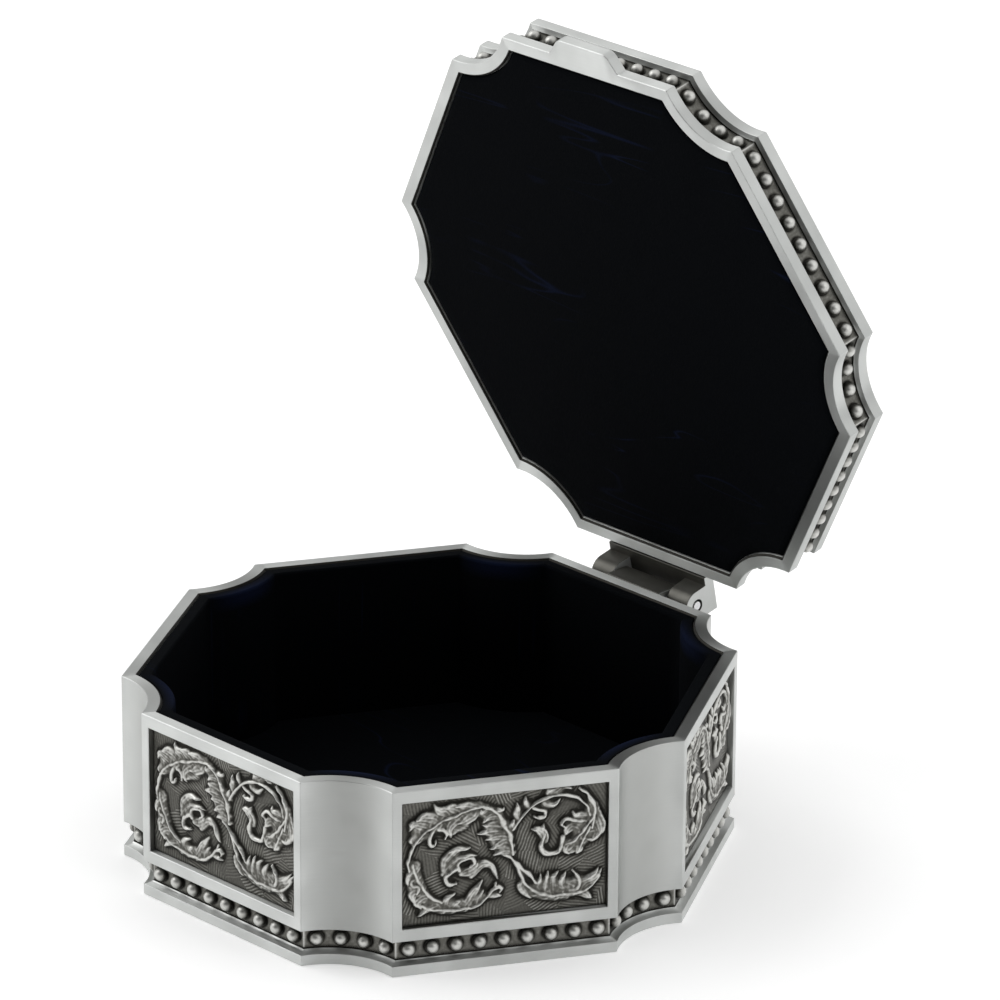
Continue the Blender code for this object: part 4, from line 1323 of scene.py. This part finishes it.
def dull(mesh, polish):
    """Leave an even coat of antiquing on a bar, but for its ends: partly the real finish where the wheel cannot reach,
    partly painted shade for the shadowed hinge.
    """
    attribute = mesh.attributes.new("polish", "FLOAT", "POINT")
    attribute.data.foreach_set("value", np.full(len(mesh.vertices), polish, dtype=np.float32))
    mesh.materials.append(shared_material(aged_pewter, "pewter_plating_dull", 0.004))
    for face in mesh.polygons:
        face.material_index = int(abs(face.normal.x) > 0.9)
    return mesh


def arc(radius, start, end, steps=28):
    """Points round the hinge axis, in YZ, from one angle in degrees to another."""
    points = []
    for step in range(steps + 1):
        angle = math.radians(start + (end - start) * step / steps)
        points.append((HINGE_AXIS.y + radius * math.cos(angle), HINGE_AXIS.z + radius * math.sin(angle)))
    return points


class TRINKET_OT_hinge(bpy.types.Operator):
    """Hinge: the base's middle knuckle, the lid's tongue with two ears, and the pin"""

    bl_idname = "trinket.hinge"
    bl_label = "Hinge"

    def execute(self, context):
        pewter = shared_material(brushed_pewter)
        half, middle = 10.6 * MM, 5.8 * MM
        back = WALL_APOTHEM + GAP
        knuckle, ear = 1.9 * MM, 2.6 * MM
        outline = [(back, HINGE_AXIS.z - knuckle), *arc(knuckle, -90, 90), (back, HINGE_AXIS.z + knuckle)]
        lug = new_piece(
            "hinge_middle_knuckle", dull(bar_mesh("middle_knuckle", outline, -middle, middle, 1.1 * MM), 0.38), pewter,
            "base", ["base_hinge_lug"],
        )
        soften_edges(lug, 0.14 * MM)
        bottom = RIM_TOP + GAP
        top = bottom + 2.0 * MM
        out = HINGE_AXIS.y + ear
        tongue = [(back, bottom), (out, bottom), (out, top), (back, top)]
        plate = new_piece(
            "hinge_tongue", dull(bar_mesh("tongue", tongue, -half, half), 0.3), pewter, "lid", ["lid_hinge_lug"],
        )
        soften_edges(plate, 0.14 * MM)
        web = [*arc(ear, 0, -180), (HINGE_AXIS.y - ear, bottom + 0.2 * MM), (out, bottom + 0.2 * MM)]
        for name, left, right in (("left", -half, -middle - GAP), ("right", middle + GAP, half)):
            piece = new_piece(
                f"hinge_ear_{name}", dull(bar_mesh(f"ear_{name}", web, left, right, 1.1 * MM), 0.34), pewter, "lid",
                ["lid_hinge_lug"],
            )
            soften_edges(piece, 0.14 * MM)
        pin = new_piece(
            "hinge_wire_pin", bar_mesh("wire_pin", arc(0.8 * MM, 0, 354, 59), -half, half),
            shared_material(drawn_steel), "base", ["hinge_pin"],
        )
        soften_edges(pin, 0.2 * MM, segments=3)
        return {"FINISHED"}


# Photograph's viewing angle: degrees round from the front, degrees above the horizon, and metres away
VIEW_AZIMUTH = 44.774
VIEW_ELEVATION = 22.63
VIEW_ROLL = 0.354
VIEW_DISTANCE = 1.08
VIEW_LENS = 251.8
VIEW_ASIDE = 0.01061
VIEW_HEIGHT = 0.02763


def lamp(name, place, target, width, height, power):
    """A soft box that faces a target."""
    light = bpy.data.lights.new(name, "AREA")
    light.shape = "RECTANGLE"
    light.size = width
    light.size_y = height
    light.energy = power
    made = bpy.data.objects.new(name, light)
    bpy.context.scene.collection.objects.link(made)
    made.location = place
    made.rotation_euler = (Vector(target) - Vector(place)).to_track_quat("-Z", "Y").to_euler()
    return made


class TRINKET_OT_stage(bpy.types.Operator):
    """Pale floor, soft studio light and the camera"""

    bl_idname = "trinket.stage"
    bl_label = "Stage"

    def execute(self, context):
        scene = context.scene
        scene.view_settings.view_transform = "Standard"
        self.light_world(scene)
        self.lay_floor()
        lamp("key_soft_box", (-0.75, -0.45, 0.8), (0, 0, 0.03), 0.8, 0.8, 3.4)
        lamp("fill_soft_box", (0.85, 0.15, 0.55), (0, 0, 0.03), 0.5, 0.6, 0.9)
        self.place_camera(scene)
        return {"FINISHED"}

    def light_world(self, scene):
        """White studio with three dim sides, the same for every ray."""
        world = bpy.data.worlds.new("studio")
        scene.world = world
        world.use_nodes = True
        tree = world.node_tree
        background = tree.nodes["Background"]
        direction = node(tree, "ShaderNodeTexCoord").outputs["Generated"]
        light = 1.0
        for aim, spread_angle, dip in (((0.342, -0.877, 0.337), 60, 0.97), ((-0.611, 0.679, 0.407), 44, 0.35),
                                       ((0.936, -0.082, 0.342), 44, 0.5)):
            facing = node(
                tree, "ShaderNodeVectorMath", {"operation": "DOT_PRODUCT"}, {0: direction, 1: aim}
            ).outputs["Value"]
            left = node(
                tree,
                "ShaderNodeMapRange",
                {"interpolation_type": "SMOOTHSTEP"},
                {"Value": facing, "From Min": math.cos(math.radians(spread_angle)), "From Max": 1.0,
                 "To Min": 1.0, "To Max": 1.0 - dip},
            ).outputs["Result"]
            light = node(tree, "ShaderNodeMath", {"operation": "MULTIPLY"}, {0: light, 1: left}).outputs[0]
        tree.links.new(light, background.inputs["Color"])
        background.inputs["Strength"].default_value = 1.0

    def lay_floor(self):
        """Pale floor that shows nearly white and keeps the box's shadow."""
        bm = bmesh.new()
        bmesh.ops.create_grid(bm, x_segments=8, y_segments=8, size=3)
        mesh = bpy.data.meshes.new("studio_floor")
        bm.to_mesh(mesh)
        bm.free()
        floor = bpy.data.objects.new("studio_floor", mesh)
        bpy.context.scene.collection.objects.link(floor)
        material, tree, shader = new_material("studio_floor_matte")
        shader.inputs["Base Color"].default_value = (*colours().floor, 1)
        shader.inputs["Roughness"].default_value = 0.9
        shader.inputs["Specular IOR Level"].default_value = 0.0
        path = node(tree, "ShaderNodeLightPath").outputs
        seen = node(tree, "ShaderNodeMath", {"operation": "MAXIMUM"},
                    {0: path["Is Camera Ray"], 1: path["Is Glossy Ray"]}).outputs[0]
        lift = node(tree, "ShaderNodeMath", {"operation": "MULTIPLY"}, {0: seen, 1: 0.3}).outputs[0]
        shader.inputs["Emission Color"].default_value = (1, 1, 1, 1)
        tree.links.new(lift, shader.inputs["Emission Strength"])
        mesh.materials.append(material)

    def place_camera(self, scene):
        data = bpy.data.cameras.new("photo_camera")
        data.sensor_width = 36
        data.lens = VIEW_LENS
        data.clip_end = 20
        camera = bpy.data.objects.new("photo_camera", data)
        scene.collection.objects.link(camera)
        azimuth, elevation = math.radians(VIEW_AZIMUTH), math.radians(VIEW_ELEVATION)
        target = Vector((VIEW_ASIDE * math.cos(azimuth), VIEW_ASIDE * math.sin(azimuth), RIM_TOP + VIEW_HEIGHT))
        away = Vector((
            math.sin(azimuth) * math.cos(elevation), -math.cos(azimuth) * math.cos(elevation), math.sin(elevation)
        ))
        turn = (-away).to_track_quat("-Z", "Y").to_matrix().to_4x4()
        roll = Matrix.Rotation(math.radians(VIEW_ROLL), 4, "Z")
        camera.matrix_world = Matrix.Translation(target + away * VIEW_DISTANCE) @ turn @ roll
        scene.camera = camera


class TRINKET_PT_panel(bpy.types.Panel):
    """Lists the box's sizes, colours and pieces"""

    bl_idname = "TRINKET_PT_panel"
    bl_label = "Trinket Box"
    bl_space_type = "VIEW_3D"
    bl_region_type = "UI"
    bl_category = "Trinket Box"

    def draw(self, context):
        for group in (sizes(), relief_sizes(), colours()):
            column = self.layout.column(align=True)
            for name in group.__annotations__:
                column.prop(group, name)
        column = self.layout.column(align=True)
        for operator in OPERATORS:
            column.operator(operator.bl_idname)


OPERATORS = (
    TRINKET_OT_wall,
    TRINKET_OT_plinth,
    TRINKET_OT_pearl_bands,
    TRINKET_OT_side_plaques,
    TRINKET_OT_linings,
    TRINKET_OT_lid_rim,
    TRINKET_OT_lid_top,
    TRINKET_OT_lid_plaque,
    TRINKET_OT_lid_pad,
    TRINKET_OT_hinge,
    TRINKET_OT_stage,
)
CLASSES = (TRINKET_box_sizes, TRINKET_relief_sizes, TRINKET_colours, *OPERATORS, TRINKET_PT_panel)


def register():
    for made in CLASSES:
        bpy.utils.register_class(made)
    bpy.types.Scene.trinket_box_sizes = PointerProperty(type=TRINKET_box_sizes)
    bpy.types.Scene.trinket_relief_sizes = PointerProperty(type=TRINKET_relief_sizes)
    bpy.types.Scene.trinket_colours = PointerProperty(type=TRINKET_colours)


def unregister():
    del bpy.types.Scene.trinket_colours
    del bpy.types.Scene.trinket_relief_sizes
    del bpy.types.Scene.trinket_box_sizes
    for made in reversed(CLASSES):
        bpy.utils.unregister_class(made)


def main():
    """Build every piece and the stage."""
    register()
    bpy.ops.trinket.wall()
    bpy.ops.trinket.plinth()
    bpy.ops.trinket.pearl_bands()
    bpy.ops.trinket.side_plaques()
    bpy.ops.trinket.linings()
    bpy.ops.trinket.lid_rim()
    bpy.ops.trinket.lid_top()
    bpy.ops.trinket.lid_plaque()
    bpy.ops.trinket.lid_pad()
    bpy.ops.trinket.hinge()
    bpy.ops.trinket.stage()


if __name__ == "__main__":
    main()
